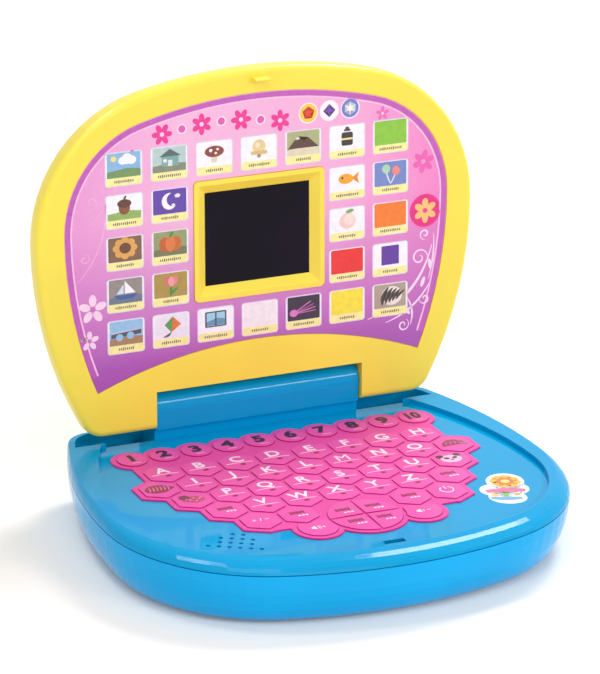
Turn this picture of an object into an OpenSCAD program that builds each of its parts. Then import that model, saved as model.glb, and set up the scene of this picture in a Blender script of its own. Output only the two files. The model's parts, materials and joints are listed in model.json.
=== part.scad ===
// Toy laptop: a rounded pebble housing with a honeycomb keypad, and a hinged lid
// that carries a picture sheet and a small screen.
// Millimetres. X runs to the right, Y to the back, Z up. The origin is on the
// ground, under the middle of the whole toy with its lid open.

/* [Base housing] */
// Width of the base at its parting line
base_w = 240; // [232:2:250]
// Depth of the base, front to back
base_d = 195; // [191:1:201]
// Height of the parting line above the ground
seam_h = 29; // [26:0.5:34]
// Height of the rim above the parting line
rim_rise = 5.8; // [5:0.2:8]
// Wall thickness of the base mouldings
base_wall = 2.2; // [1.6:0.1:2.8]
// Radius of the front edge seen from above
base_crown_r = 216; // [200:2:240]
// Radius of the two front corners
base_corner_r = 80; // [70:1:88]
// Radius of the bowed sides
base_side_r = 250; // [230:5:300]
// Radius of the two back corners
base_back_r = 18; // [12:1:24]
// How far the underside curves in below the parting line
belly_in = 13; // [8:0.5:16]
// Height of the rubber feet below the underside
foot_h = 1.2; // [0.8:0.1:3]
// Diameter of the rubber feet
foot_d = 14; // [8:0.5:18]

/* [Deck] */
// Depth of the sunken deck below the rim
deck_sunk = 2.4; // [1.6:0.1:3]
// Thickness of the deck
deck_t = 2.2; // [1.6:0.1:2.8]
// Widest part of the sunken deck
deck_w = 218; // [210:1:224]
// Length of the slot for the lid's latch
latch_slot_l = 11; // [9.5:0.5:16]
// Width of the slot for the lid's latch
latch_slot_w = 3.8; // [3.4:0.1:5]

/* [Keypad] */
// Distance between the centres of neighbouring keys
key_pitch = 20; // [19.4:0.1:20.6]
// Gap between the sides of neighbouring letter keys
key_gap = 2; // [1.4:0.1:2.4]
// Clearance between a key and its hole
key_clear = 0.2; // [0.1:0.05:0.3]
// Height of the keys above the keypad frame
key_proud = 0.8; // [0.4:0.1:1.2]
// Travel of a key
key_travel = 1; // [0.6:0.1:1.4]
// Radius of the key corners
key_corner_r = 2; // [1.6:0.1:3]
// Radius of the shallow dome on the keys
key_dome_r = 120; // [80:1:200]
// Diameter of the number keys
number_d = 15; // [13:0.5:15.8]
// Distance between the centres of the number keys
number_pitch = 17.25; // [16.6:0.05:18]
// Diameter of the round pad between the two volume keys
pad_d = 36.4; // [34:0.2:37]
// Rise of the keypad frame above the deck
frame_rise = 0.8; // [0.6:0.1:1.2]
// Width of the frame's border around the outer letter keys
frame_border = 3.15; // [3.1:0.05:3.6]

/* [Hinge] */
// Radius of the barrel between the lid's ears
barrel_r = 10.2; // [9:0.1:10.6]
// Length of the barrel
barrel_l = 112; // [100:1:124]
// Height of the hinge axis above the rim
axis_rise = 12.9; // [12.4:0.1:14]
// Gap between the barrel and the lid
barrel_gap = 0.6; // [0.5:0.1:1.2]
// Diameter of the hinge pins
pin_d = 6; // [4:0.1:6.2]
// Length of a hinge pin
pin_l = 20; // [16:0.5:24]
// Backward lean of the open lid
lid_lean = 4.1; // [0:0.1:20]

/* [Lid] */
// Width of the lid at its parting line
lid_w = 238; // [230:2:244]
// Height of the lid above the hinge axis
lid_h = 170.4; // [168:0.2:172]
// Thickness of the lid
lid_t = 19; // [18:0.5:22]
// Thickness of the lid's front moulding
lid_front_t = 8; // [7:0.2:8]
// Wall thickness of the lid mouldings
lid_wall = 2.2; // [1.6:0.1:2.6]
// Length of the ears below the hinge axis
ear_drop = 8.8; // [7.5:0.1:9.4]
// Radius of the lid's top edge
lid_crown_r = 270; // [255:1:300]
// Radius of the lid's top corners
lid_corner_r = 74; // [66:1:80]
// Radius of the lid's bowed sides
lid_side_r = 196; // [185:1:230]
// Radius of the lid's bottom corners
lid_ear_r = 12; // [8:0.5:14]
// Gap between the closed lid and the rim
closed_gap = 0.3; // [0.2:0.1:0.6]

/* [Picture sheet] */
// Width of the picture sheet
sheet_w = 209; // [200:1:216]
// Height of the sheet's top edge above the hinge axis
sheet_h = 158; // [152:0.5:160]
// Thickness of the sheet
sheet_t = 0.6; // [0.4:0.1:0.8]
// Depth of the recess that holds the sheet
sheet_recess = 0.9; // [0.8:0.1:1.1]
// Radius of the sheet's top edge
sheet_crown_r = 240; // [225:1:260]
// Radius of the sheet's top corners
sheet_corner_r = 55; // [50:1:60]
// Radius of the sheet's bowed sides
sheet_side_r = 215; // [205:1:230]

/* [Screen] */
// Width of the screen opening
window_w = 57; // [48:0.5:62]
// Height of the screen opening
window_h = 47.8; // [40:0.2:54]
// Height of the screen's centre above the hinge axis
window_z = 85.2; // [78:0.2:92]
// Width of the frame around the screen opening
bezel_w = 7; // [5:0.2:9]
// Width of the flat outer band of that frame
bezel_flat = 2.4; // [1.2:0.2:3.4]
// Depth of the screen behind the front of the lid
window_sunk = 2.8; // [2:0.1:3.2]
// Rise of the screen frame above the front of the lid
bezel_rise = 0.4; // [0.2:0.1:0.6]
// Thickness of the display behind the screen
display_t = 5; // [3.5:0.1:6]

/* [Power and sound] */
// Diameter of a battery
battery_d = 14.2; // [13.5:0.1:14.5]
// Length of a battery
battery_l = 50.2; // [44:0.2:50.5]
// Diameter of the speaker
speaker_d = 28; // [24:0.5:29]
// Height of the speaker
speaker_h = 8.4; // [6:0.2:9]
// Diameter of the speaker holes
grille_hole_d = 2.2; // [1.4:0.1:3]
// Distance between the speaker holes
grille_pitch = 5.1; // [4.4:0.1:5.4]

/* [Hardware] */
// Thread diameter of the screws
screw_d = 3; // [2.4:0.1:3]
// Head diameter of the screws
screw_head_d = 5.6; // [5:0.1:5.8]
// Clearance around a screw where it passes through
screw_clear = 0.4; // [0.2:0.1:0.6]

/* [Hidden] */
$fn = 48;
eps = 0.01;
sky_blue = [0.05, 0.65, 0.93];
sun_yellow = [0.98, 0.88, 0.25];
hot_pink = [0.98, 0.37, 0.74];

function mix(a, b, t) = a + (b - a) * t;
// Points along an arc; open = 1 leaves out the last one, which the next arc starts with.
function arc(c, r, a0, a1, steps, open = 0) =
    [for (i = [0:steps - open]) let (a = mix(a0, a1, i / steps)) [c[0] + r * cos(a), c[1] + r * sin(a)]];
function mirrored(pts) = [for (i = [len(pts) - 1:-1:0]) [-pts[i][0], pts[i][1]]];

// Outline of a shell, anticlockwise: a crown at the front, two front corners, two
// bowed sides, two back corners and a straight back, all tangent to each other.
// in_by moves the whole outline inwards.
function shell_outline(w, front, back, r_crown, r_corner, r_side, r_back, in_by = 0) =
    let (
        hw = w / 2,
        y_wide = front + r_crown - sqrt(pow(r_crown - r_corner, 2) - pow(hw - r_corner, 2)),
        crown_c = [0, front + r_crown],
        corner_c = [hw - r_corner, y_wide],
        side_c = [hw - r_side, y_wide],
        back_y = back - in_by,
        rb = max(r_back - in_by, 1),
        side_in = r_side - in_by - rb,
        back_c = [side_c[0] + sqrt(side_in * side_in - pow(back_y - rb - y_wide, 2)), back_y - rb],
        a_front = atan2(corner_c[1] - crown_c[1], corner_c[0]),
        a_back = atan2(back_c[1] - side_c[1], back_c[0] - side_c[0]),
        half = concat(
            arc(crown_c, r_crown - in_by, -90, a_front, 7, 1),
            arc(corner_c, r_corner - in_by, a_front, 0, 12, 1),
            arc(side_c, r_side - in_by, 0, a_back, 8, 1),
            arc(back_c, rb, a_back, 90, 6)
        )
    )
    concat(half, [for (i = [0:len(half) - 2]) mirrored(half)[i]]);

// A closed skin over a stack of outlines that all have the same number of points.
module loft(rings) {
    n = len(rings[0]);
    last = len(rings) - 1;
    sides = [for (j = [0:last - 1], i = [0:n - 1])
        let (a = j * n + i, b = j * n + (i + 1) % n) each [[a, a + n, b + n], [a, b + n, b]]];
    bottom = [[for (i = [0:n - 1]) i]];
    top = [[for (i = [n - 1:-1:0]) last * n + i]];
    polyhedron([for (r = rings) each r], concat(bottom, sides, top));
}
function at_z(pts, z) = [for (p = pts) [p[0], p[1], z]];

module rounded_rect(w, h, r) {
    square([w - 2 * r, h], center = true);
    square([w, h - 2 * r], center = true);
    for (sx = [-1, 1], sy = [-1, 1])
        translate([sx * (w / 2 - r), sy * (h / 2 - r)]) circle(r);
}
module block(w, d, h, r) linear_extrude(h) rounded_rect(w, d, r);
module x_cylinder(r, l) rotate([0, 90, 0]) cylinder(r = r, h = l, center = true);
module both_sides() for (s = [0, 1]) mirror([s, 0, 0]) children();

// Heights of the base, from the rim down through the keypad to the floor
rim_z = seam_h + rim_rise;
deck_z = rim_z - deck_sunk;
deck_under = deck_z - deck_t;
frame_top = deck_z + frame_rise;
key_top = frame_top + key_proud;
frame_t = 2.2;
frame_under = frame_top - frame_t;
lip_t = 1.2;
lip_gap = 0.2;
key_under = frame_under - lip_gap - lip_t;
mat_clear = 0.3;
mat_top = key_under - key_travel - mat_clear;
mat_t = 0.8;
board_top = mat_top - mat_t;
board_t = 1.6;
board_under = board_top - board_t;
floor_top = foot_h + base_wall;

// The hinge axis, and the lid's front face seen from it
hinge_y = base_d / 2 - barrel_r - 0.1;
hinge_z = rim_z + axis_rise;
lid_front_z = closed_gap - axis_rise;
lid_seam_z = lid_front_z + lid_front_t;
lid_back_z = lid_front_z + lid_t;
nub_y = -(lid_h - 5.4);
latch_y = hinge_y + nub_y;

// Keypad layout: rows of hexagonal keys, half a pitch out of step, below a row of
// round number keys. Names starting with "-" are joined in one node each.
row_step = key_pitch * sqrt(3) / 2;
half_row = key_pitch / 2;
number_y = hinge_y - 30.7;
number_gap = 21.8;
row_y = [for (i = [0:6]) number_y - (i == 0 ? 0 : number_gap + (i - 1) * row_step)];
LETTER_ROWS = [
    ["key_a", "key_b", "key_c", "key_d", "key_e", "key_f", "key_g", "key_h"],
    ["-picture", "key_i", "key_j", "key_k", "key_l", "key_m", "key_n", "key_o", "-picture"],
    ["-picture", "key_p", "key_q", "key_r", "key_s", "key_t", "key_u", "-picture"],
    ["-mode", "key_v", "key_w", "key_x", "key_y", "key_z", "-mode"]
];
bottom_row_y = row_y[5];
pad_y = row_y[6] + 0.285 * key_pitch;
volume_x = 1.39 * key_pitch;
volume_r = 0.485 * key_pitch;
hex_keys = concat(
    [for (r = [0:3], c = [0:len(LETTER_ROWS[r]) - 1])
        [LETTER_ROWS[r][c], (c - (len(LETTER_ROWS[r]) - 1) / 2) * key_pitch, row_y[r + 1]]],
    [["-mode", -2.5 * key_pitch, bottom_row_y], ["-mode", -1.5 * key_pitch, bottom_row_y],
     ["-mode", 1.5 * key_pitch, bottom_row_y], ["power_key", 2.5 * key_pitch, bottom_row_y]]
);
volume_keys = [["volume_up_key", -volume_x], ["volume_down_key", volume_x]];
number_keys = [for (i = [1:10]) [str("key_", i), (i - 5.5) * number_pitch]];
single_hex_keys = [for (k = hex_keys) if (k[0][0] != "-") k];

// ---- Keypad shapes ----
hex_flat = key_pitch - key_gap;
module rounded_hex(flat, r) {
    corner = (flat / 2 - r) * 2 / sqrt(3);
    polygon([for (a = [0:60:300])
        each arc([corner * cos(a + 30), corner * sin(a + 30)], r, a, a + 60, 4)]);
}
// Hexagons next to the round pad are cut back around it.
module cut_around_pad(grow) difference() {
    children();
    translate([0, pad_y]) circle(pad_d / 2 + key_gap - grow);
}
module hex_key_shape(k, grow = 0) cut_around_pad(grow)
    translate([k[1], k[2]]) rounded_hex(hex_flat + 2 * grow, key_corner_r);
module volume_shape(x, grow = 0) cut_around_pad(grow) difference() {
    translate([x, row_y[6]]) circle(volume_r + grow);
    for (k = hex_keys) if (k[2] == bottom_row_y)
        translate([k[1], k[2]]) rounded_hex(key_pitch + key_gap - 2 * grow, key_corner_r);
}
module number_shape(x, grow = 0) translate([x, number_y]) circle(number_d / 2 + grow);
module pad_shape(grow = 0) translate([0, pad_y]) circle(pad_d / 2 + grow);

// The outline of the keypad frame follows the keys, with its notches filled between
// the letters and the numbers, around the round pad and beside the volume keys.
number_border = 3.3;
pad_border = 2.9;
outline_corner_r = 1.6;
notch_y = row_y[6] + 0.205 * key_pitch;
module keypad_outline(in_by = 0) {
    half = hex_flat / 2 + frame_border - in_by;
    for (k = hex_keys) translate([k[1], k[2]]) rounded_hex(2 * half, max(outline_corner_r - in_by, 0.5));
    for (k = volume_keys) translate([k[1], row_y[6]]) circle(volume_r + frame_border - in_by);
    for (k = number_keys) translate([k[1], number_y]) circle(number_d / 2 + number_border - in_by);
    translate([0, pad_y]) circle(pad_d / 2 + pad_border - in_by);
    strip = 3.5 * key_pitch + half;
    translate([-strip, row_y[1]]) square([2 * strip, number_y - row_y[1]]);
    translate([-1.5 * key_pitch, row_y[6]]) square([3 * key_pitch, row_y[4] - row_y[6]]);
    both_sides() polygon([[2.5 * key_pitch, bottom_row_y], [1.5 * key_pitch, bottom_row_y],
        [1.5 * key_pitch, row_y[6]], [2.075 * key_pitch, notch_y + in_by],
        [2.5 * key_pitch, notch_y + in_by]]);
}
module key_holes() {
    for (k = hex_keys) hex_key_shape(k, key_clear);
    for (k = volume_keys) volume_shape(k[1], key_clear);
    for (k = number_keys) number_shape(k[1], key_clear);
    pad_shape(key_clear);
}

// ---- Keys ----
lip_w = 0.5;
socket_d = 9;
socket_h = 2;
// A key: a low dome on a prism, with a lip that holds it under the frame and a
// socket for its rubber dome. Child 0 is its outline and child 1 that of its lip.
module key_body(x, y, dome_r = key_dome_r) color(hot_pink) difference() {
    union() {
        intersection() {
            translate([0, 0, key_under]) linear_extrude(key_top - key_under) children(0);
            translate([x, y, key_top - dome_r]) sphere(dome_r, $fn = 1.6 * dome_r);
        }
        translate([0, 0, key_under]) linear_extrude(lip_t) children(1);
    }
    translate([x, y, key_under - eps]) cylinder(d = socket_d, h = socket_h + eps);
}
module hex_key(k) key_body(k[1], k[2]) {
    hex_key_shape(k);
    hex_key_shape(k, lip_w);
}
module number_key(k) key_body(k[1], number_y) {
    number_shape(k[1]);
    number_shape(k[1], lip_w);
}
module volume_key(k) key_body(k[1], row_y[6]) {
    volume_shape(k[1]);
    volume_shape(k[1], lip_w);
}
module picture_keys() for (k = hex_keys) if (k[0] == "-picture") hex_key(k);
module mode_keys() for (k = hex_keys) if (k[0] == "-mode") hex_key(k);
// The round pad is one piece with a cross groove between its four quarters.
pad_groove_w = 1.4;
pad_groove_d = 0.7;
module cursor_pad() difference() {
    key_body(0, pad_y, 4 * key_dome_r) {
        pad_shape();
        pad_shape(lip_w);
    }
    translate([0, pad_y, key_top - pad_groove_d]) {
        translate([-pad_groove_w / 2, -pad_d / 2, 0]) cube([pad_groove_w, pad_d, 2 * pad_groove_d]);
        translate([-pad_d / 2, -pad_groove_w / 2, 0]) cube([pad_d, pad_groove_w, 2 * pad_groove_d]);
    }
}

// ---- Under the keys ----
// The frame: a border that lies on the deck, and a plug that fills its opening.
opening_in = 1.8;
plug_clear = 0.2;
border_bevel = 0.3;
module keypad_frame() color(hot_pink) difference() {
    union() {
        translate([0, 0, deck_z]) linear_extrude(frame_rise - border_bevel) keypad_outline();
        translate([0, 0, deck_z]) linear_extrude(frame_rise) keypad_outline(border_bevel);
        translate([0, 0, frame_under]) linear_extrude(frame_t) keypad_outline(opening_in + plug_clear);
    }
    translate([0, 0, frame_under - 1]) linear_extrude(frame_t + 2) key_holes();
}
key_centres = concat(
    [for (k = hex_keys) [k[1], k[2]]],
    [for (k = volume_keys) [k[1], row_y[6]]],
    [for (k = number_keys) [k[1], number_y]],
    [[0, pad_y]]
);
dome_clear = 0.4;
// The mat and the board are cut back around the speaker.
speaker_gap = 1;
module around_speaker() on_speaker() translate([0, 0, board_under - 5])
    cylinder(d = speaker_d + 2 * collar_w + 2 * speaker_gap, h = 10);
module contact_mat() color([0.75, 0.76, 0.78]) {
    difference() {
        translate([0, 0, board_top]) linear_extrude(mat_t) keypad_outline(opening_in);
        around_speaker();
    }
    for (c = key_centres) translate([c[0], c[1], mat_top - eps])
        cylinder(d1 = socket_d - 2, d2 = socket_d - 4, h = socket_h + mat_clear - dome_clear);
}
// The board narrows in steps towards the front, like the keypad above it.
board_w = 180;
board_step_w = 118;
board_front_w = 96;
board_screws = [[0.478 * board_w, row_y[1] + 7], [0.448 * board_front_w, row_y[6] - 10]];
module board_strip(w, y0, y1) translate([-w / 2, y0]) square([w, y1 - y0]);
module main_board() color([0.1, 0.42, 0.22]) difference() {
    translate([0, 0, board_under]) union() {
        linear_extrude(board_t) {
            board_strip(board_w, bottom_row_y + half_row, number_y + half_row);
            board_strip(board_step_w, bottom_row_y - half_row, bottom_row_y + half_row + 1);
            board_strip(board_front_w, row_y[6] - 1.5 * half_row, bottom_row_y);
        }
        // The chip under its blob of resin, and two components
        translate([1.5 * key_pitch, row_y[3], -1.5]) cylinder(r = 0.35 * key_pitch, h = 2);
        translate([-2 * key_pitch, row_y[3] + 0.6 * key_pitch, -3])
            cube([0.7 * key_pitch, 0.45 * key_pitch, 3.5]);
        translate([0.4 * key_pitch, row_y[2] + 0.45 * key_pitch, -2])
            cube([0.25 * key_pitch, half_row, 2.5]);
    }
    around_speaker();
    both_sides() for (p = board_screws) translate([p[0], p[1], board_under - 5])
        cylinder(d = screw_d + screw_clear, h = 10);
}

// ---- Base housing ----
function base_ring(in_by, z) = at_z(shell_outline(base_w, -base_d / 2, base_d / 2, base_crown_r,
    base_corner_r, base_side_r, base_back_r, in_by), z);
rim_side_in = 3.5;
rim_front_in = 10.5;
rim_back_in = 2.5;
function rim_ring(z) = at_z(shell_outline(base_w - 2 * rim_side_in, rim_front_in - base_d / 2,
    base_d / 2 - rim_back_in, base_crown_r, base_corner_r - rim_side_in, base_side_r,
    base_back_r - rim_back_in), z);

// The underside curves in from the parting line as a quarter of an ellipse.
module belly(floor_z, wall, angles) loft([for (a = angles)
    base_ring(wall + belly_in * (1 - cos(a)), seam_h - (seam_h - floor_z) * sin(a))]);

// The shoulder curves in from the parting line to the edge of the flat rim.
shoulder_a = 65;
function shoulder_ring(a) =
    let (t = (1 - cos(a)) / (1 - cos(shoulder_a)), z = seam_h + rim_rise * sin(a) / sin(shoulder_a))
    [for (i = [0:len(base_ring(0, z)) - 1]) mix(base_ring(0, z)[i], rim_ring(z)[i], t)];

// Screw bosses that hold the two halves together, with tight holes for the threads
thread_clear = 0.1;
boss_w = 1.8;
boss_z = 20;
boss_seat = foot_h + 8;
housing_screws = [[100, -10], [80, hinge_y - 16], [40, -76]];
head_h = 2;
module boss_hole(z0, z1, d) translate([0, 0, z0]) cylinder(d = d, h = z1 - z0);

// Battery compartment, opened from below by a door that rests on its walls
cell_gap = 0.3;
bay_w = battery_l + 6.8;
bay_d = 3 * battery_d + 4.4;
bay_h = battery_d + 2;
bay_wall = 2;
door_lap = 1.5;
door_clear = 0.2;
module battery_bay(grow, z0, h) translate([0, 0, z0]) block(bay_w + 2 * grow, bay_d + 2 * grow, h, 2);

foot_sink = 0.6;
foot_places = [[84, 52], [76, -46]];
module lower_housing() color(sky_blue) difference() {
    union() {
        difference() {
            belly(foot_h, 0, [90:-11.25:0]);
            belly(floor_top, base_wall, [90:-15:0]);
            translate([0, 0, seam_h - eps]) cube([base_w, base_d, 1], center = true);
        }
        battery_bay(bay_wall, foot_h + eps, floor_top + bay_h + bay_wall - foot_h);
        both_sides() for (p = housing_screws) translate([p[0], p[1], foot_h + eps]) {
            cylinder(d = screw_head_d + 3.4, h = boss_seat + 2 - foot_h);
            cylinder(d = screw_d + 2 * boss_w, h = boss_z - foot_h - eps);
        }
    }
    battery_bay(0, floor_top - 1, bay_h + 1);
    battery_bay(door_lap, foot_h - 1, base_wall + 1);
    both_sides() for (p = housing_screws) translate([p[0], p[1], 0]) {
        boss_hole(-1, boss_seat, screw_head_d + 0.6);
        boss_hole(boss_seat - 1, boss_z + 1, screw_d + screw_clear);
    }
    both_sides() for (p = foot_places) translate([p[0], p[1], foot_h - 1])
        cylinder(d = foot_d + 0.2, h = 1 + foot_sink);
}

// The wells under the lid's ears follow the housing's outline.
well_reach = 8.6;
well_in = 4;
well_floor = 26;
module well_shape(grow = 0) intersection() {
    polygon([for (p = base_ring(well_in - grow, 0)) [p[0], p[1]]]);
    translate([barrel_l / 2 - grow, hinge_y - well_reach - grow]) square([base_w, base_d]);
}
// The sunken deck
deck_front_in = 12;
deck_side_r = 185;
deck_back_r = 4;
module deck_shape() polygon(shell_outline(deck_w, deck_front_in - base_d / 2, hinge_y - well_reach,
    base_crown_r - 2, base_corner_r - 14, deck_side_r, deck_back_r));

// The barrel: a half cylinder on a block, with a bore at each end for a hinge pin
pin_in_barrel = 11;
barrel_solid_end = pin_in_barrel + 3;
module barrel() translate([0, hinge_y, 0]) {
    translate([0, 0, hinge_z]) x_cylinder(barrel_r, barrel_l);
    translate([-barrel_l / 2, -barrel_r, seam_h]) cube([barrel_l, 2 * barrel_r, hinge_z - seam_h]);
}
module barrel_hollow() translate([0, hinge_y, 0]) {
    l = barrel_l - 2 * barrel_solid_end;
    r = barrel_r - base_wall;
    translate([0, 0, hinge_z]) x_cylinder(r, l);
    translate([-l / 2, -r, seam_h - 1]) cube([l, 2 * r, hinge_z - seam_h + 1]);
}
module pin_bores(d, from, to) both_sides() translate([from, 0, 0]) rotate([0, 90, 0])
    cylinder(d = d, h = to - from);

// Speaker holes: a square pattern turned by 30 degrees, wider towards the front
grille_turn = -30;
grille_rows = [[0, 1], [-1, 2], [-1, 2], [-2, 3]];
grille_at = [-3.4 * key_pitch, bottom_row_y - 0.37 * key_pitch];
module on_grille() translate(grille_at) rotate(grille_turn) children();
module grille() on_grille() for (j = [0:3], i = [grille_rows[j][0]:grille_rows[j][1]])
    translate([i * grille_pitch, -j * grille_pitch, deck_under - 1])
        cylinder(d = grille_hole_d, h = deck_t + 2, $fn = 24);
module on_speaker() on_grille() translate([grille_pitch / 2, -1.875 * grille_pitch, 0]) children();

collar_h = 3;
collar_w = 1.5;
tub_wall = 1.3;
module upper_housing() color(sky_blue) {
    difference() {
        union() {
            difference() {
                union() {
                    loft([for (k = [0:5]) shoulder_ring(shoulder_a * k / 5)]);
                    barrel();
                }
                translate([0, 0, seam_h - 1]) linear_extrude(deck_under - seam_h + 1)
                    polygon([for (p = base_ring(base_wall, 0)) [p[0], p[1]]]);
                barrel_hollow();
                translate([0, 0, deck_z]) linear_extrude(rim_rise) deck_shape();
                translate([0, 0, deck_under - 1]) linear_extrude(deck_t + 2) keypad_outline(opening_in);
                translate([-latch_slot_l / 2, latch_y - latch_slot_w / 2, deck_under - 1])
                    cube([latch_slot_l, latch_slot_w, rim_z]);
                grille();
            }
            // Walls of the wells, collar for the speaker and bosses
            both_sides() translate([0, 0, well_floor - tub_wall])
                linear_extrude(deck_under - well_floor + tub_wall + eps) well_shape(tub_wall);
            on_speaker() translate([0, 0, deck_under - collar_h])
                cylinder(d = speaker_d + 2 * collar_w, h = collar_h + eps);
            both_sides() for (p = housing_screws) translate([p[0], p[1], boss_z])
                cylinder(d = screw_d + 2 * boss_w, h = deck_under + eps - boss_z);
            both_sides() for (p = board_screws) translate([p[0], p[1], board_top])
                cylinder(d = screw_d + 2 * boss_w, h = deck_under + eps - board_top);
            translate([0, hinge_y, hinge_z])
                pin_bores(2 * barrel_r, barrel_l / 2 - barrel_solid_end, barrel_l / 2);
        }
        both_sides() translate([0, 0, well_floor]) linear_extrude(rim_z) well_shape();
        on_speaker() translate([0, 0, deck_under - collar_h - 1])
            cylinder(d = speaker_d + 0.3, h = collar_h + 1);
        both_sides() for (p = housing_screws) translate([p[0], p[1], 0])
            boss_hole(boss_z - 1, deck_under - 1, screw_d + thread_clear);
        both_sides() for (p = board_screws) translate([p[0], p[1], 0])
            boss_hole(board_top - 1, deck_under, screw_d + thread_clear);
        translate([0, hinge_y, hinge_z])
            pin_bores(pin_d + 0.1, barrel_l / 2 - pin_in_barrel - 0.5, barrel_l / 2 + 1);
    }
}
module rubber_feet() color([0.15, 0.15, 0.16]) both_sides() for (p = foot_places)
    translate([p[0], p[1], 0]) cylinder(d = foot_d, h = foot_h + foot_sink);

// ---- Power and sound ----
door_ribs = 4;
module battery_door() color(sky_blue) difference() {
    battery_bay(door_lap - door_clear, foot_h, base_wall);
    // Grip grooves
    for (i = [0:door_ribs - 1]) translate([bay_w / 2 - 6 - 2.4 * i, -8, foot_h - 1]) cube([1.2, 16, 1.6]);
}
cell_z = floor_top + cell_gap + battery_d / 2;
module batteries() color([0.75, 0.6, 0.25]) for (i = [-1:1])
    translate([0, i * (battery_d + 0.8), cell_z]) {
        x_cylinder(battery_d / 2, battery_l - 1.2);
        x_cylinder(2.7, battery_l);
    }
contact_t = 0.5;
contact_w = 0.63 * battery_d;
contact_reach = (bay_w - battery_l) / 2 - contact_t - 0.35;
module battery_contacts() color("silver") both_sides() for (i = [-1:1])
    translate([bay_w / 2 - contact_t - 0.05, i * (battery_d + 0.8), cell_z]) {
        translate([0, -contact_w / 2, -contact_w / 2]) cube([contact_t, contact_w, contact_w]);
        rotate([0, -90, 0])
            cylinder(d1 = 0.7 * contact_w, d2 = 0.45 * contact_w, h = contact_reach);
    }
// Half the outline of the speaker: its cone, rim, basket and magnet
speaker_r = speaker_d / 2;
speaker_rim = 0.2 * speaker_h;
basket_h = 0.62 * speaker_h;
module speaker() color([0.2, 0.2, 0.22]) on_speaker() translate([0, 0, deck_under - 0.1])
    rotate_extrude() polygon([[0, -speaker_rim], [0.8 * speaker_r, -speaker_rim / 2], [speaker_r, 0],
        [speaker_r, -speaker_rim], [0.72 * speaker_r, -basket_h], [0.58 * speaker_r, -basket_h],
        [0.58 * speaker_r, -speaker_h], [0, -speaker_h]]);

// ---- Hardware ----
module screw(l) {
    translate([0, 0, -eps]) cylinder(d = screw_d, h = l + eps);
    translate([0, 0, -head_h]) difference() {
        cylinder(d = screw_head_d, h = head_h);
        translate([-2, -0.4, -eps]) cube([4, 0.8, 0.8]);
        translate([-0.4, -2, -eps]) cube([0.8, 4, 0.8]);
    }
}
module base_screws() color("silver") both_sides() {
    for (p = housing_screws) translate([p[0], p[1], boss_seat]) screw(deck_under - 2 - boss_seat);
    for (p = board_screws) translate([p[0], p[1], board_under]) screw(board_t + deck_under - board_top - 0.4);
}
module hinge_pins() color("silver") translate([0, hinge_y, hinge_z])
    pin_bores(pin_d, barrel_l / 2 - pin_in_barrel, barrel_l / 2 - pin_in_barrel + pin_l);

// ---- Lid, modelled closed: face down, hinge axis at the origin ----
module lid_pose() translate([0, hinge_y, hinge_z]) rotate([-90 - lid_lean, 0, 0]) children();
function lid_ring(in_by, z) = at_z(shell_outline(lid_w, -lid_h, ear_drop, lid_crown_r,
    lid_corner_r, lid_side_r, lid_ear_r, in_by), z);
lid_edge_r = 3;
lid_dome_in = 19;
lid_dome_angles = [0, 20, 40, 60, 76, 90];
module lid_dome(floor_z, top_z, wall, angles) loft([for (a = angles)
    lid_ring(wall + lid_dome_in * (1 - cos(a)), floor_z + (top_z - floor_z) * sin(a))]);
// The notch between the ears, where the barrel lies
module notch(grow = 0) {
    x = barrel_l / 2 + barrel_gap + grow;
    y = barrel_r + barrel_gap + grow;
    translate([-x, -y, lid_front_z - 5]) cube([2 * x, y + 2 * ear_drop, lid_t + 10]);
}

plate_t = 2.6;
plate_z = lid_front_z + plate_t;
window_y = -window_z;
window_back = lid_front_z + window_sunk;
frame_w = window_w + 2 * bezel_w;
frame_h = window_h + 2 * bezel_w;
module at_window(z) translate([0, window_y, z]) children();
function rect_ring(w, h, z) =
    at_z([[-w / 2, -h / 2], [w / 2, -h / 2], [w / 2, h / 2], [-w / 2, h / 2]], z);

sheet_foot = 8;
sheet_foot_r = 7;
arch_z = 31.4;
arch_r = 235;
module sheet_shape(in_by = 0) difference() {
    polygon(shell_outline(sheet_w, -sheet_h, -sheet_foot, sheet_crown_r, sheet_corner_r, sheet_side_r,
        sheet_foot_r, in_by));
    translate([0, arch_r - arch_z]) circle(arch_r + in_by, $fn = 240);
}

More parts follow.
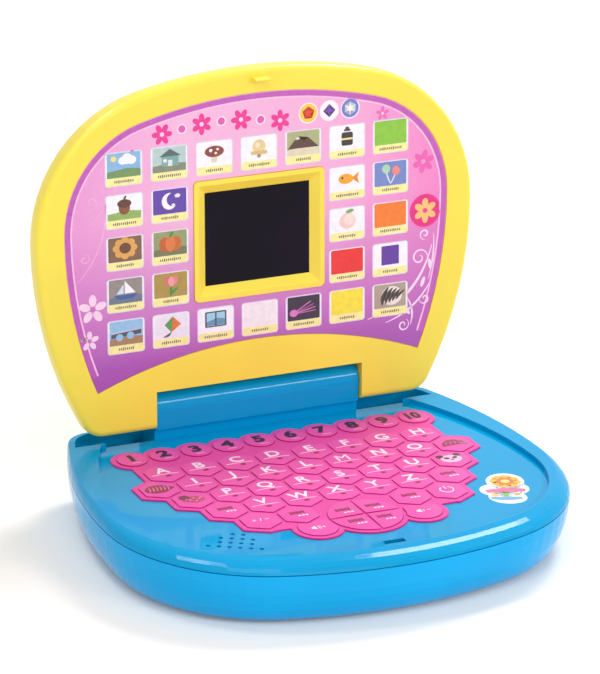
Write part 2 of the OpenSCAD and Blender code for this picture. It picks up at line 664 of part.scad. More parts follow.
lid_screw_places = [[86, -28], [88, -124]];
lid_seat_z = lid_back_z - 6;
lens_t = 1.4;
lens_lap = 2;
tab_reach = 8;
tab_x = window_w / 2 + lens_lap + 5.5;
display_tab = [[tab_x, window_h / 2 - 4], [tab_x, 4 - window_h / 2]];
tab_z = window_back + lens_t + 0.4 * display_t;
tab_t = 1.4;
tab_d = 5;
latch_w = 8;
latch_t = 1.6;
latch_h = deck_sunk + 2;
module lid_front_shell() color(sun_yellow) lid_pose() difference() {
    union() {
        difference() {
            loft(concat(
                [for (a = [0:22.5:90])
                    lid_ring(lid_edge_r * (1 - sin(a)), lid_front_z + lid_edge_r * (1 - cos(a)))],
                [lid_ring(0, lid_seam_z)]));
            difference() {
                translate([0, 0, plate_z]) linear_extrude(lid_t)
                    polygon([for (p = lid_ring(lid_wall + 0.4, 0)) [p[0], p[1]]]);
                notch(lid_wall);
            }
            notch();
            translate([0, 0, lid_front_z - 1]) linear_extrude(1 + sheet_recess) sheet_shape();
        }
        at_window(lid_front_z - bezel_rise) block(frame_w, frame_h, bezel_rise + window_sunk, 2.5);
        both_sides() {
            for (p = lid_screw_places) translate([p[0], p[1], plate_z - eps])
                cylinder(d = screw_d + 2 * boss_w, h = lid_seam_z - plate_z + eps);
            for (p = display_tab) at_window(plate_z - eps) translate(p)
                cylinder(d = tab_d - 1, h = tab_z - plate_z + eps);
        }
        // The latch, with a rounded tip
        translate([-latch_w / 2, nub_y - latch_t / 2, lid_front_z - latch_h])
            cube([latch_w, latch_t, latch_h + eps]);
        translate([0, nub_y, lid_front_z - latch_h]) x_cylinder(latch_t / 2, latch_w);
    }
    at_window(0) loft([
        rect_ring(frame_w - 2 * bezel_flat, frame_h - 2 * bezel_flat, lid_front_z - bezel_rise - eps),
        rect_ring(window_w, window_h, window_back + eps)]);
    at_window(window_back - eps) block(window_w, window_h, plate_t, 1);
    both_sides() for (p = lid_screw_places) translate([p[0], p[1], 0])
        boss_hole(plate_z + 0.4, lid_seam_z + 1, screw_d + thread_clear);
}
pin_boss_d = 8.8;
module lid_rear_shell() color(sun_yellow) lid_pose() difference() {
    union() {
        difference() {
            lid_dome(lid_seam_z, lid_back_z, 0, lid_dome_angles);
            difference() {
                lid_dome(lid_seam_z - eps, lid_back_z - lid_wall, lid_wall, [0:30:90]);
                notch(lid_wall);
            }
            notch();
        }
        pin_bores(pin_boss_d, barrel_l / 2 + barrel_gap, barrel_l / 2 + barrel_gap + 10);
        both_sides() for (p = lid_screw_places) translate([p[0], p[1], lid_seam_z])
            cylinder(d = screw_head_d + 3, h = lid_back_z - lid_wall + eps - lid_seam_z);
    }
    pin_bores(pin_d + 0.2, barrel_l / 2, barrel_l / 2 + barrel_gap + 11);
    both_sides() for (p = lid_screw_places) translate([p[0], p[1], 0]) {
        boss_hole(lid_seam_z - 1, lid_back_z, screw_d + screw_clear);
        boss_hole(lid_seat_z, lid_back_z + 1, screw_head_d + 0.6);
    }
}
sheet_clear = 0.2;
module picture_sheet() color([0.9, 0.65, 0.85]) lid_pose()
    translate([0, 0, lid_front_z + sheet_recess - sheet_t]) linear_extrude(sheet_t) difference() {
        sheet_shape(sheet_clear);
        at_window(0) rounded_rect(frame_w + 2 * sheet_clear, frame_h + 2 * sheet_clear, 2.6);
    }
module screen_window() color([0.08, 0.07, 0.14]) lid_pose() at_window(window_back)
    block(window_w + 2 * lens_lap, window_h + 2 * lens_lap, lens_t, 1);
module display_module() color([0.25, 0.5, 0.3]) lid_pose() difference() {
    union() {
        at_window(window_back + lens_t)
            block(window_w + 2 * lens_lap, window_h + 2 * lens_lap, display_t, 1);
        both_sides() for (p = display_tab) at_window(tab_z) translate(p) {
            cylinder(d = tab_d, h = tab_t);
            translate([-tab_reach, -tab_d / 2, 0]) cube([tab_reach, tab_d, tab_t]);
        }
    }
}
module lid_screws() color("silver") lid_pose() both_sides() for (p = lid_screw_places)
    translate([p[0], p[1], lid_seat_z]) rotate([180, 0, 0]) screw(lid_seat_z - plate_z - 1);

// The pieces are modelled about the middle of the base. The open lid leans out
// behind the base, so the middle of the whole toy lies a little further back.
lid_reach = max([for (a = lid_dome_angles) (lid_h - lid_dome_in * (1 - cos(a))) * sin(lid_lean)
    + (lid_seam_z + (lid_back_z - lid_seam_z) * sin(a)) * cos(lid_lean)]);
middle_y = (hinge_y + lid_reach - base_d / 2) / 2;
module place() translate([0, -middle_y, 0]) children();

place() lower_housing();
place() upper_housing();
place() keypad_frame();
place() contact_mat();
place() main_board();
place() speaker();
place() battery_door();
place() batteries();
place() battery_contacts();
place() rubber_feet();
place() base_screws();
place() hinge_pins();
place() lid_front_shell();
place() lid_rear_shell();
place() picture_sheet();
place() screen_window();
place() display_module();
place() lid_screws();
for (k = single_hex_keys) place() hex_key(k);
for (k = number_keys) place() number_key(k);
for (k = volume_keys) place() volume_key(k);
place() cursor_pad();
place() picture_keys();
place() mode_keys();
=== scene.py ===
import json
import math
import string

import bmesh
import bpy
from mathutils import Matrix, Vector
from mathutils.bvhtree import BVHTree

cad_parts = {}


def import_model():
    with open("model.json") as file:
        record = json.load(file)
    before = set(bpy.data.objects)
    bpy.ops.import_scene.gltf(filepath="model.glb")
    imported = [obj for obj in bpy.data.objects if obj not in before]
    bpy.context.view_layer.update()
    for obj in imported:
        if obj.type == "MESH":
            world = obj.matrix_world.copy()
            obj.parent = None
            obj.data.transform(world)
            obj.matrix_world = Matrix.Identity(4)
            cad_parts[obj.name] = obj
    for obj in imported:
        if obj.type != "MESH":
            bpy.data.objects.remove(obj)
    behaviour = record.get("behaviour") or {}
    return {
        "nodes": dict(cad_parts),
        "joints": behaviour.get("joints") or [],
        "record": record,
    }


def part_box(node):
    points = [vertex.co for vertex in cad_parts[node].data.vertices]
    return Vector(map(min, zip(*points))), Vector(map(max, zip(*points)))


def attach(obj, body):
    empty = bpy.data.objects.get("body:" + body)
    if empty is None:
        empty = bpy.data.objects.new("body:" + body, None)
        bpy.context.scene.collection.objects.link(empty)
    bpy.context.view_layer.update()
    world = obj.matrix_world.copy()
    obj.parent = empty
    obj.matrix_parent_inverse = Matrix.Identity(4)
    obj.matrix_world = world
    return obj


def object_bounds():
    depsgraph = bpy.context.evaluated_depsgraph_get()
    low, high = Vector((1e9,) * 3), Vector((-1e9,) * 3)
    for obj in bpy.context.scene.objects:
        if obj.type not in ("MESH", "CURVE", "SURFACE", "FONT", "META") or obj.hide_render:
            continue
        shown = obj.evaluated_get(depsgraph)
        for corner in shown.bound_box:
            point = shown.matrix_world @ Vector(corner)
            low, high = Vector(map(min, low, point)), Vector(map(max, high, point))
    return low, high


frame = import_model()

# ------------------------ sizes, in metres
MM = 0.001
INK = 0.03 * MM
cad_low, cad_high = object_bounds()
nodes = frame["nodes"]
slots = {part["node"]: part["material_slot"] for part in frame["record"]["subparts"]}
lid_joint = next(j for j in frame["joints"] if j["name"] == "lid_hinge")
hinge = Vector(lid_joint["pos_m"])
# The closed lid lies flat, so the hinge's limit beyond 90 degrees is how far the open lid leans back.
lean = math.radians(lid_joint["range_deg"][1] - 90)
lid_up = Vector((0, math.sin(lean), math.cos(lean)))
lid_out = Vector((0, -math.cos(lean), math.sin(lean)))
sheet_front = max((v.co - hinge).dot(lid_out) for v in nodes["picture_sheet"].data.vertices)
# The height of the flat rim round the sunken deck. The barrel, at the back, stands higher.
rim_z = max(v.co.z for v in nodes["upper_housing"].data.vertices if v.co.y < 0)
UP = (0, 0, 1)

# Prints are laid out in millimetres. On the sheet, u runs to the right and v up from the hinge's middle.
CARD_STEP_U, CARD_STEP_V = 24.16, 21.34
CARD_W, CARD_H, CARD_R = 20.0, 17.5, 1.6
CARD_EDGE_W, CAPTION_INSET, PICTURE_INSET = 0.45, 0.6, 1.1
FIRST_ROW_V = 42.0
CAPTION_H, CAPTION_R = 3.9, 0.9
BADGE_U, BADGE_V = 92.1, 86.3
# On a key, u and v run from its middle. A weight is how much a character's outline is moved out.
LETTER_SIZE, LETTER_WEIGHT, LETTER_STRETCH, LETTER_V = 9.6, 0.18, 1.08, 3.3
DIGIT_SIZE, DIGIT_WEIGHT, DIGIT_V = 10.4, 0.5, 1.4
STROKE = 0.4
PICTURE_LEGEND_SIZE = 1.3
# The sticker lies on the deck's right-hand side, turned with the shell's edge.
STICKER_MIDDLE = Vector((79 * MM, -43.5 * MM, 0))
STICKER_ACROSS = Vector((0.883, -0.469, 0))
STICKER_AWAY = Vector((0.469, 0.883, 0))


# ------------------------ materials
def srgb(r, g, b):
    """A colour from 0 to 255 a channel, as the shader wants it."""
    def linear(c):
        c /= 255
        return c / 12.92 if c <= 0.04045 else ((c + 0.055) / 1.055) ** 2.4
    return (linear(r), linear(g), linear(b), 1.0)


def grey(level):
    """A grey of one level from 0 to 1, as the shader wants it."""
    return (level, level, level, 1.0)


def tinted(colour, k):
    """A colour made lighter or darker by a factor."""
    return tuple(min(1.0, c * k) for c in colour[:3]) + (1.0,)


class Nodes:
    """A short way to build one material's node tree."""
    def __init__(self, name, roughness=0.4, **sockets):
        self.material = bpy.data.materials.new(name)
        self.material.use_nodes = True
        self.tree = self.material.node_tree
        self.shader = self.tree.nodes["Principled BSDF"]
        self.shader.inputs["Roughness"].default_value = roughness
        for socket, value in sockets.items():
            self.shader.inputs[socket.replace("_", " ")].default_value = value
        coordinates = self.add("ShaderNodeTexCoord")
        self.place = coordinates.outputs["Object"]
        self.normal = coordinates.outputs["Normal"]

    def add(self, kind, **settings):
        node = self.tree.nodes.new(kind)
        for key, value in settings.items():
            setattr(node, key, value)
        return node

    def feed(self, socket, value):
        """Links a socket to another node's output, or sets it to a fixed value."""
        if isinstance(value, bpy.types.NodeSocket):
            self.tree.links.new(value, socket)
        else:
            socket.default_value = value

    def noise(self, per_metre, detail=3.0):
        node = self.add("ShaderNodeTexNoise")
        node.inputs["Scale"].default_value = per_metre
        node.inputs["Detail"].default_value = detail
        self.feed(node.inputs["Vector"], self.place)
        return node.outputs["Fac"]

    def ramp(self, value, stops):
        """A colour for each value, from stops of (position, colour)."""
        node = self.add("ShaderNodeValToRGB")
        elements = node.color_ramp.elements
        elements[0].position, elements[0].color = stops[0]
        elements[1].position, elements[1].color = stops[-1]
        for position, colour in stops[1:-1]:
            elements.new(position).color = colour
        self.feed(node.inputs["Fac"], value)
        return node.outputs["Color"]

    def mottled(self, colour, per_metre, detail, dark, light, edge=0.35):
        """A colour that drifts between a darker and a lighter tint of itself."""
        stops = [(edge, tinted(colour, dark)), (1 - edge, tinted(colour, light))]
        return self.ramp(self.noise(per_metre, detail), stops)

    def span(self, value, low, high, to_low=0.0, to_high=1.0):
        """A value from low to high turned into one from to_low to to_high, and held there beyond."""
        node = self.add("ShaderNodeMapRange")
        ends = {"From Min": low, "From Max": high, "To Min": to_low, "To Max": to_high}
        for socket, number in ends.items():
            node.inputs[socket].default_value = number
        self.feed(node.inputs["Value"], value)
        return node.outputs["Result"]

    def dot(self, value, direction):
        node = self.add("ShaderNodeVectorMath", operation="DOT_PRODUCT")
        self.feed(node.inputs[0], value)
        node.inputs[1].default_value = direction
        return node.outputs["Value"]

    def along(self, direction, start, low, high):
        """Distance along a direction from a point, as 0 at low and 1 at high, in metres."""
        offset = Vector(direction).dot(start)
        return self.span(self.dot(self.place, direction), low + offset, high + offset)

    def facing(self, direction, low, high):
        """0 where the surface faces away from a direction and 1 where it faces it."""
        return self.span(self.dot(self.normal, direction), low, high)

    def product(self, a, b):
        node = self.add("ShaderNodeMath", operation="MULTIPLY")
        self.feed(node.inputs[0], a)
        self.feed(node.inputs[1], b)
        return node.outputs[0]

    def mix(self, fac, a, b, blend="MIX"):
        """Two colours mixed. The node has its factor at input 0 and its colours at 6 and 7."""
        node = self.add("ShaderNodeMix", data_type="RGBA", blend_type=blend)
        for index, value in ((0, fac), (6, a), (7, b)):
            self.feed(node.inputs[index], value)
        return node.outputs[2]

    def colour(self, output):
        self.feed(self.shader.inputs["Base Color"], output)

    def varied_roughness(self, low, high, per_metre=60):
        """Gloss that drifts between two roughnesses."""
        roughness = self.span(self.noise(per_metre), 0.3, 0.7, low, high)
        self.feed(self.shader.inputs["Roughness"], roughness)

    def bump(self, height, strength, depth):
        node = self.add("ShaderNodeBump")
        node.inputs["Strength"].default_value = strength
        node.inputs["Distance"].default_value = depth
        self.feed(node.inputs["Height"], height)
        self.feed(self.shader.inputs["Normal"], node.outputs["Normal"])

    def flow(self, colour, per_metre=18):
        """The faint flow marks in a moulding's colour."""
        return self.mottled(colour, per_metre, 2, 0.97, 1.03)

    def skin(self, strength):
        """The fine skin of a moulding."""
        self.bump(self.noise(1800, 2), strength, 0.04 * MM)


def moulded(name, colour, low, high, **sockets):
    """Moulded plastic with a roughness from low to high."""
    m = Nodes(name, **sockets)
    m.colour(m.flow(colour))
    m.varied_roughness(low, high)
    m.skin(0.1)
    return m.material


def key_pink(name, top, side, low, high):
    """Pink plastic that is darker down its sides, as painted shade where the keys stand close together;
    side is the colour of that painted shade.
    """
    m = Nodes(name, Subsurface_Weight=0.05, Subsurface_Scale=0.002, Specular_IOR_Level=0.3)
    # Faces that turn away from up take the side colour: painted shade, not a second plastic.
    m.colour(m.mix(m.facing(UP, 0.35, 0.9), side, m.flow(top, 30)))
    m.varied_roughness(low, high)
    m.skin(0.1)
    return m.material


def blue_deck(name, colour):
    """Blue plastic that is glossier on the sunken deck than on the rim and the shoulder."""
    m = Nodes(name, Specular_IOR_Level=0.16)
    m.colour(m.flow(colour))
    sunken = m.along(UP, (0, 0, 0), rim_z - 0.6 * MM, rim_z - 1.6 * MM)
    on_deck = m.product(sunken, m.facing(UP, 0.95, 0.99))
    m.feed(m.shader.inputs["Roughness"], m.ramp(on_deck, [(0, grey(0.1)), (1, grey(0.04))]))
    m.skin(0.03)
    return m.material


def printed(name, colour):
    """Ink under a thin varnish."""
    m = Nodes(name, Coat_Weight=0.15, Coat_Roughness=0.2)
    m.colour(m.mottled(colour, 350, 4, 0.95, 1.05))
    m.varied_roughness(0.35, 0.5, 200)
    return m.material


def metal(name, colour, low, high):
    """Drawn or plated metal with a roughness from low to high."""
    m = Nodes(name, Metallic=1.0)
    m.colour(m.mottled(colour, 400, 4, 0.9, 1.0, 0.3))
    m.varied_roughness(low, high, 500)
    m.bump(m.noise(5000, 2), 0.1, 0.01 * MM)
    return m.material


def rubber(name, colour):
    """A matt, faintly grainy finish, as on rubber."""
    m = Nodes(name)
    m.colour(m.mottled(colour, 250, 5, 0.85, 1.1, 0.3))
    m.varied_roughness(0.6, 0.8, 300)
    m.bump(m.noise(2500, 3), 0.25, 0.06 * MM)
    return m.material


def sheet_material():
    """The sheet's ground: light pink at the top, hot pink to the right, purple towards the bottom."""
    m = Nodes("sheet_ground", Coat_Weight=0.3, Coat_Roughness=0.12)
    across = m.along((1, 0, 0), hinge, -0.105, 0.105)
    upper = m.ramp(across, [(0.0, srgb(236, 150, 212)), (0.3, srgb(248, 186, 222)),
                            (0.7, srgb(247, 176, 218)), (1.0, srgb(245, 130, 198))])
    up = m.along(lid_up, hinge, 0.02, 0.15)
    lower = m.ramp(up, [(0.0, srgb(170, 80, 178)), (0.25, srgb(196, 104, 190)),
                        (1.0, srgb(216, 120, 200))])
    share_of_lower = m.ramp(up, [(0.05, grey(1)), (0.28, grey(0.75)), (0.62, grey(0))])
    ground = m.mix(share_of_lower, upper, lower)
    speck = m.ramp(m.noise(500, 4), [(0.35, grey(0.97)), (0.65, grey(1))])
    m.colour(m.mix(1.0, ground, speck, "MULTIPLY"))
    m.varied_roughness(0.28, 0.38, 80)
    return m.material


def board_material():
    """Green board with tracks under its solder mask."""
    m = Nodes("board_green")
    tracks = m.add("ShaderNodeTexBrick")
    tracks.inputs["Scale"].default_value = 160
    tracks.inputs["Color1"].default_value = srgb(26, 104, 56)
    tracks.inputs["Color2"].default_value = srgb(30, 116, 62)
    tracks.inputs["Mortar"].default_value = srgb(58, 148, 84)
    tracks.inputs["Mortar Size"].default_value = 0.03
    m.feed(tracks.inputs["Vector"], m.place)
    m.colour(tracks.outputs["Color"])
    m.varied_roughness(0.3, 0.45, 200)
    return m.material


def screen_material():
    """Dark, slightly violet lens over an unlit display."""
    m = Nodes("screen_dark", Specular_IOR_Level=0.12)
    m.colour(m.ramp(m.noise(30, 3), [(0.35, srgb(14, 8, 22)), (0.65, srgb(24, 14, 34))]))
    m.varied_roughness(0.2, 0.3, 90)
    return m.material


SUN_YELLOW = srgb(252, 228, 72)
SKY_BLUE = srgb(0, 174, 240)
DECK_BLUE = srgb(0, 158, 214)
HOT_PINK = srgb(232, 86, 174)
# The frame's own pink, set a little darker than the keys' as painted shade in the grooves between them.
FRAME_PINK_WITH_PAINTED_SHADE = srgb(228, 76, 166)
# A darker pink, painted as shade down the sides of the keys and the frame.
PAINTED_SHADE_PINK = srgb(196, 34, 128)
finishes = {
    "blue_shell": moulded("blue_shell", SKY_BLUE, 0.08, 0.13, Specular_IOR_Level=0.18),
    "blue_deck": blue_deck("blue_deck", DECK_BLUE),
    "yellow_shell": moulded("yellow_shell", SUN_YELLOW, 0.3, 0.4, Coat_Weight=0.2, Coat_Roughness=0.2),
    "pink_frame": key_pink("pink_frame", FRAME_PINK_WITH_PAINTED_SHADE, PAINTED_SHADE_PINK, 0.36, 0.46),
    "pink_key": key_pink("pink_key", HOT_PINK, PAINTED_SHADE_PINK, 0.32, 0.42),
    "grey_rubber": rubber("grey_rubber", srgb(205, 207, 212)),
    "foot_rubber": rubber("foot_rubber", srgb(38, 38, 42)),
    "board": board_material(),
    "speaker_black": rubber("speaker_black", srgb(30, 30, 34)),
    "battery_jacket": metal("battery_jacket", srgb(214, 170, 84), 0.25, 0.35),
    "spring_steel": metal("spring_steel", srgb(214, 214, 220), 0.15, 0.25),
    "screw_steel": metal("screw_steel", srgb(190, 190, 196), 0.25, 0.4),
    "pin_steel": metal("pin_steel", srgb(196, 196, 202), 0.2, 0.3),
    "printed_sheet": sheet_material(),
    "screen_lens": screen_material(),
    "display_frame": rubber("display_frame", srgb(44, 92, 60)),
}
for name, node in nodes.items():
    node.data.materials.clear()
    node.data.materials.append(finishes[slots[name]])

inks = {}


def ink(colour):
    """The printed material for one colour, made once."""
    if colour not in inks:
        inks[colour] = printed("ink_%02x%02x%02x" % colour, srgb(*colour))
    return inks[colour]


# ------------------------ flat shapes, as outlines
def counterclockwise(outline):
    """The outline in the order that turns its face up."""
    area = sum(a[0] * b[1] - b[0] * a[1] for a, b in zip(outline, outline[1:] + outline[:1]))
    return outline if area > 0 else outline[::-1]


def disc(u, v, r, r2=None, steps=28, turn=0.0):
    """A circle, or an ellipse of radii r and r2, turned by an angle in degrees."""
    c, s = math.cos(math.radians(turn)), math.sin(math.radians(turn))
    points = []
    for i in range(steps):
        a = math.tau * i / steps
        x, y = r * math.cos(a), (r2 or r) * math.sin(a)
        points.append((u + c * x - s * y, v + s * x + c * y))
    return points


def rounded(u, v, w, h, r, steps=5):
    """A rectangle about (u, v) with round corners."""
    points = []
    for k, (sx, sy) in enumerate(((1, 1), (-1, 1), (-1, -1), (1, -1))):
        corner_u, corner_v = u + sx * (w / 2 - r), v + sy * (h / 2 - r)
        for i in range(steps + 1):
            a = math.radians(90 * (k + i / steps))
            points.append((corner_u + r * math.cos(a), corner_v + r * math.sin(a)))
    return points


def star(u, v, r, inner=0.45, tips=5, turn=90.0):
    """A star whose hollows lie at inner of its radius."""
    points = []
    for i in range(2 * tips):
        a = math.radians(turn + 180 * i / tips)
        d = r if i % 2 == 0 else r * inner
        points.append((u + d * math.cos(a), v + d * math.sin(a)))
    return points


def ribbon(path, width, tip=0.25):
    """A band along a path, widest in its middle and narrowing to tip of its width at both ends."""
    left, right = [], []
    last = len(path) - 1
    for i, (u, v) in enumerate(path):
        a, b = path[max(i - 1, 0)], path[min(i + 1, last)]
        du, dv = b[0] - a[0], b[1] - a[1]
        d = math.hypot(du, dv) or 1.0
        w = width / 2 * (tip + (1 - tip) * math.sin(math.pi * i / last))
        left.append((u - dv / d * w, v + du / d * w))
        right.append((u + dv / d * w, v - du / d * w))
    return left + right[::-1]


def bow(start, end, bulge, steps=14):
    """Points from start to end along a curve that stands bulge times its length to the left."""
    (u0, v0), (u1, v1) = start, end
    mid = ((u0 + u1) / 2 - (v1 - v0) * bulge, (v0 + v1) / 2 + (u1 - u0) * bulge)
    points = []
    for i in range(steps + 1):
        t = i / steps
        points.append(tuple((1 - t) ** 2 * a + 2 * t * (1 - t) * m + t * t * b
                            for a, m, b in zip(start, mid, end)))
    return points


def spiral(u, v, r, a0, turns, steps=30):
    """Points that wind in from radius r towards the middle."""
    points = []
    for i in range(steps + 1):
        t = i / steps
        a = math.radians(a0 + 360 * turns * t)
        d = r * (1 - 0.82 * t)
        points.append((u + d * math.cos(a), v + d * math.sin(a)))
    return points


# ------------------------ prints
class Print:
    """Thin shapes of ink in one piece. place turns (u, v, lift) into a point on the printed surface."""
    def __init__(self, name, body, place):
        self.name, self.body, self.place = name, body, place
        self.mesh = bmesh.new()
        self.materials = []

    def slot(self, material):
        if material not in self.materials:
            self.materials.append(material)
        return self.materials.index(material)

    def shape(self, outline, colour, layer=1):
        """One closed, flat prism in a colour; higher layers cover lower ones."""
        index = self.slot(ink(colour))
        outline = counterclockwise(outline)
        top = [self.mesh.verts.new(self.place(u, v, layer * INK)) for u, v in outline]
        bottom = [self.mesh.verts.new(self.place(u, v, -INK)) for u, v in outline]
        faces = [self.mesh.faces.new(top), self.mesh.faces.new(bottom[::-1])]
        for i in range(len(top)):
            j = (i + 1) % len(top)
            faces.append(self.mesh.faces.new((top[j], top[i], bottom[i], bottom[j])))
        for face in faces:
            face.material_index = index

    def band(self, path, width, colour, layer=1, tip=0.25):
        """A strip along a path, which may wind round itself."""
        edge = ribbon(path, width, tip)
        left, right = edge[:len(path)], edge[:len(path) - 1:-1]
        for i in range(len(path) - 1):
            self.shape([left[i], right[i], right[i + 1], left[i + 1]], colour, layer)

    def finish(self):
        """Makes the shapes a piece that rides the print's body."""
        bmesh.ops.triangulate(self.mesh, faces=self.mesh.faces[:], ngon_method="EAR_CLIP")
        data = bpy.data.meshes.new(self.name)
        self.mesh.to_mesh(data)
        self.mesh.free()
        for material in self.materials:
            data.materials.append(material)
        piece = bpy.data.objects.new(self.name, data)
        bpy.context.scene.collection.objects.link(piece)
        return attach(piece, self.body)


def on_sheet(u, v, lift):
    """A place on the picture sheet."""
    return hinge + Vector((u * MM, 0, 0)) + v * MM * lid_up + (sheet_front + lift) * lid_out


# ------------------------ picture cards
WHITE = (250, 248, 252)
SOFT_WHITE = (240, 232, 242)
CARD_EDGE = (226, 214, 238)
CAPTION_YELLOW = (250, 242, 158)
CAPTION_INK = (124, 98, 108)
LEAF = (70, 150, 70)


def picture(sky, ground=None, *drawings):
    """A sky, a strip of ground and, over them, drawings of (outline, colour) from -1 to 1 each way."""
    def draw(p, u, v, w, h):
        p.shape(rounded(u, v, w, h, 0.6), sky, 3)
        if ground:
            p.shape([(u - w / 2, v - h / 2), (u + w / 2, v - h / 2), (u + w / 2, v - h * 0.2),
                     (u + w * 0.1, v - h * 0.14), (u - w / 2, v - h * 0.24)], ground, 4)
        for layer, (outline, colour) in enumerate(drawings, 5):
            p.shape([(u + x * w / 2, v + y * h / 2) for x, y in outline], colour, layer)
    return draw


WATER = (150, 196, 228)
BRIDGE = picture(
    WATER, (170, 130, 92),
    ([(-0.9, -0.4), (0.9, -0.2), (0.9, 0.15), (-0.9, -0.05)], (84, 84, 104)),
    (disc(-0.4, -0.35, 0.22, 0.3), WATER),
    (disc(0.25, -0.26, 0.22, 0.3), WATER),
    ([(-0.9, -0.02), (0.9, 0.18), (0.9, 0.28), (-0.9, 0.08)], (200, 200, 214)))
KITE = picture(
    SOFT_WHITE, None,
    ([(0.1, 0.8), (0.6, 0.1), (0.0, -0.5), (-0.4, 0.15)], (226, 120, 50)),
    ([(0.1, 0.8), (0.0, -0.5), (-0.4, 0.15)], (84, 158, 82)),
    (ribbon(bow((0.0, -0.5), (-0.5, -0.85), 0.4), 0.08), (120, 90, 80)))
WINDOW_BAR = (66, 78, 96)
WINDOW = picture(
    WHITE, None,
    (rounded(0, 0.1, 1.3, 1.3, 0.08), WINDOW_BAR),
    (rounded(0, 0.1, 1.12, 1.08, 0.04), (160, 214, 232)),
    ([(-0.56, -0.4), (0.56, -0.4), (0.56, 0.05), (0.1, 0.2), (-0.56, -0.1)], (104, 150, 178)),
    (rounded(0, 0.1, 0.08, 1.08, 0.02), WINDOW_BAR))
FIREWORK = picture(
    (52, 36, 58), None,
    *[(ribbon([(-0.75, -0.45), (0.75 * math.cos(a), -0.35 + 1.05 * math.sin(a))], 0.13, 0.5), colour)
      for a, colour in ((0.05, (214, 110, 190)), (0.32, (232, 140, 206)), (0.6, (202, 96, 178)),
                        (0.95, (226, 130, 200)))],
    (disc(-0.62, -0.35, 0.26, 0.3), (224, 120, 196)))
SHELL_STRIPES = [bow((-0.5 + 0.22 * k, -0.75 + 0.1 * k), (-0.1 + 0.25 * k, 0.75 - 0.1 * k), 0.25)
                 for k in range(5)]
SHELL = picture(
    (178, 160, 140), None,
    (disc(0.1, 0.0, 0.66, 0.8), (236, 228, 220)),
    *[(ribbon(stripe, 0.13, 0.4), (88, 72, 70)) for stripe in SHELL_STRIPES])
SAILING_BOAT = picture(
    (150, 140, 132), (110, 122, 140),
    ([(-0.05, -0.2), (-0.05, 0.85), (0.6, -0.2)], WHITE),
    ([(-0.12, -0.2), (-0.12, 0.6), (-0.55, -0.2)], (214, 226, 238)),
    ([(-0.7, -0.3), (0.7, -0.3), (0.45, -0.65), (-0.45, -0.65)], (66, 96, 160)))
TULIP = picture(
    (176, 148, 70), None,
    (ribbon(bow((0.0, -0.9), (0.05, 0.1), 0.05), 0.1, 0.9), LEAF),
    (disc(0.22, -0.5, 0.1, 0.32, turn=-40), LEAF),
    (disc(-0.14, 0.32, 0.2, 0.42, turn=14), (220, 112, 120)),
    (disc(0.2, 0.32, 0.2, 0.42, turn=-14), (232, 132, 140)),
    (disc(0.03, 0.28, 0.18, 0.42), (242, 164, 160)))
PURPLE_TILE = picture(WHITE, None, (rounded(0, 0.02, 1.1, 1.6, 0.05), (98, 52, 158)))
SUNFLOWER = picture(
    (128, 96, 70), None,
    *[(disc(0.5 * math.cos(k), 0.1 + 0.62 * math.sin(k), 0.24, 0.3), (226, 168, 86))
      for k in (0, 0.785, 1.57, 2.356, 3.14, 3.93, 4.71, 5.5)],
    (disc(0, 0.1, 0.34, 0.44), (108, 66, 40)))
PUMPKIN = picture(
    (150, 158, 108), (120, 120, 84),
    (disc(-0.32, -0.05, 0.34, 0.6), (196, 98, 44)),
    (disc(0.32, -0.05, 0.34, 0.6), (206, 108, 50)),
    (disc(0, -0.05, 0.3, 0.64), (222, 124, 60)),
    (ribbon(bow((0, 0.5), (0.16, 0.9), 0.2), 0.12, 0.8), LEAF))
PEACH = picture(
    WHITE, None,
    (disc(0.02, -0.05, 0.5, 0.66), (246, 206, 196)),
    (disc(0.14, 0.05, 0.34, 0.48), (250, 224, 214)),
    (disc(0.16, 0.74, 0.26, 0.14, turn=24), (128, 176, 96)))
ACORN_CUP = (96, 58, 40)
ACORN = picture(
    WHITE, (150, 182, 96),
    (disc(0, -0.05, 0.34, 0.56), (136, 82, 50)),
    (disc(0, 0.3, 0.42, 0.34), ACORN_CUP),
    (ribbon(bow((0, 0.55), (0.1, 0.92), 0.2), 0.1, 0.8), ACORN_CUP))
NIGHT = (98, 66, 168)
MOON = picture(
    NIGHT, None,
    (disc(-0.02, 0.02, 0.46, 0.68), WHITE),
    (disc(0.2, 0.14, 0.38, 0.56), NIGHT),
    (star(0.46, 0.42, 0.2), WHITE),
    (star(0.2, -0.3, 0.13), WHITE))
FISH = picture(
    WHITE, None,
    (disc(-0.08, 0.02, 0.46, 0.42), (248, 168, 38)),
    ([(0.28, 0.02), (0.74, 0.5), (0.64, 0.0), (0.74, -0.46)], (242, 140, 30)),
    (disc(-0.3, 0.12, 0.06, 0.1), (60, 40, 30)))
BALLOONS = picture(
    (118, 138, 200), None,
    (ribbon(bow((0.0, -0.85), (-0.25, 0.2), 0.1), 0.05, 0.8), WHITE),
    (ribbon(bow((0.0, -0.85), (0.3, 0.0), -0.1), 0.05, 0.8), WHITE),
    (disc(-0.28, 0.42, 0.25, 0.38), (176, 216, 176)),
    (disc(0.34, 0.2, 0.25, 0.38), (240, 140, 130)))
CLOUDY_DAY = picture(
    (140, 186, 226), (116, 150, 92),
    (disc(-0.06, 0.35, 0.26, 0.312), WHITE),
    (disc(0.46, 0.35, 0.286, 0.338), WHITE),
    (disc(0.2, 0.48, 0.312, 0.442), WHITE),
    (disc(-0.62, 0.55, 0.16, 0.24), (250, 226, 130)))
HOUSE = picture(
    (186, 208, 206), (132, 140, 118),
    (rounded(0.05, -0.15, 1.0, 0.8, 0.03), (126, 172, 164)),
    ([(-0.6, 0.25), (0.7, 0.25), (0.05, 0.85)], (88, 104, 108)),
    (rounded(0.05, -0.3, 0.26, 0.5, 0.02), (226, 232, 226)),
    (rounded(-0.26, -0.08, 0.2, 0.24, 0.02), WHITE))
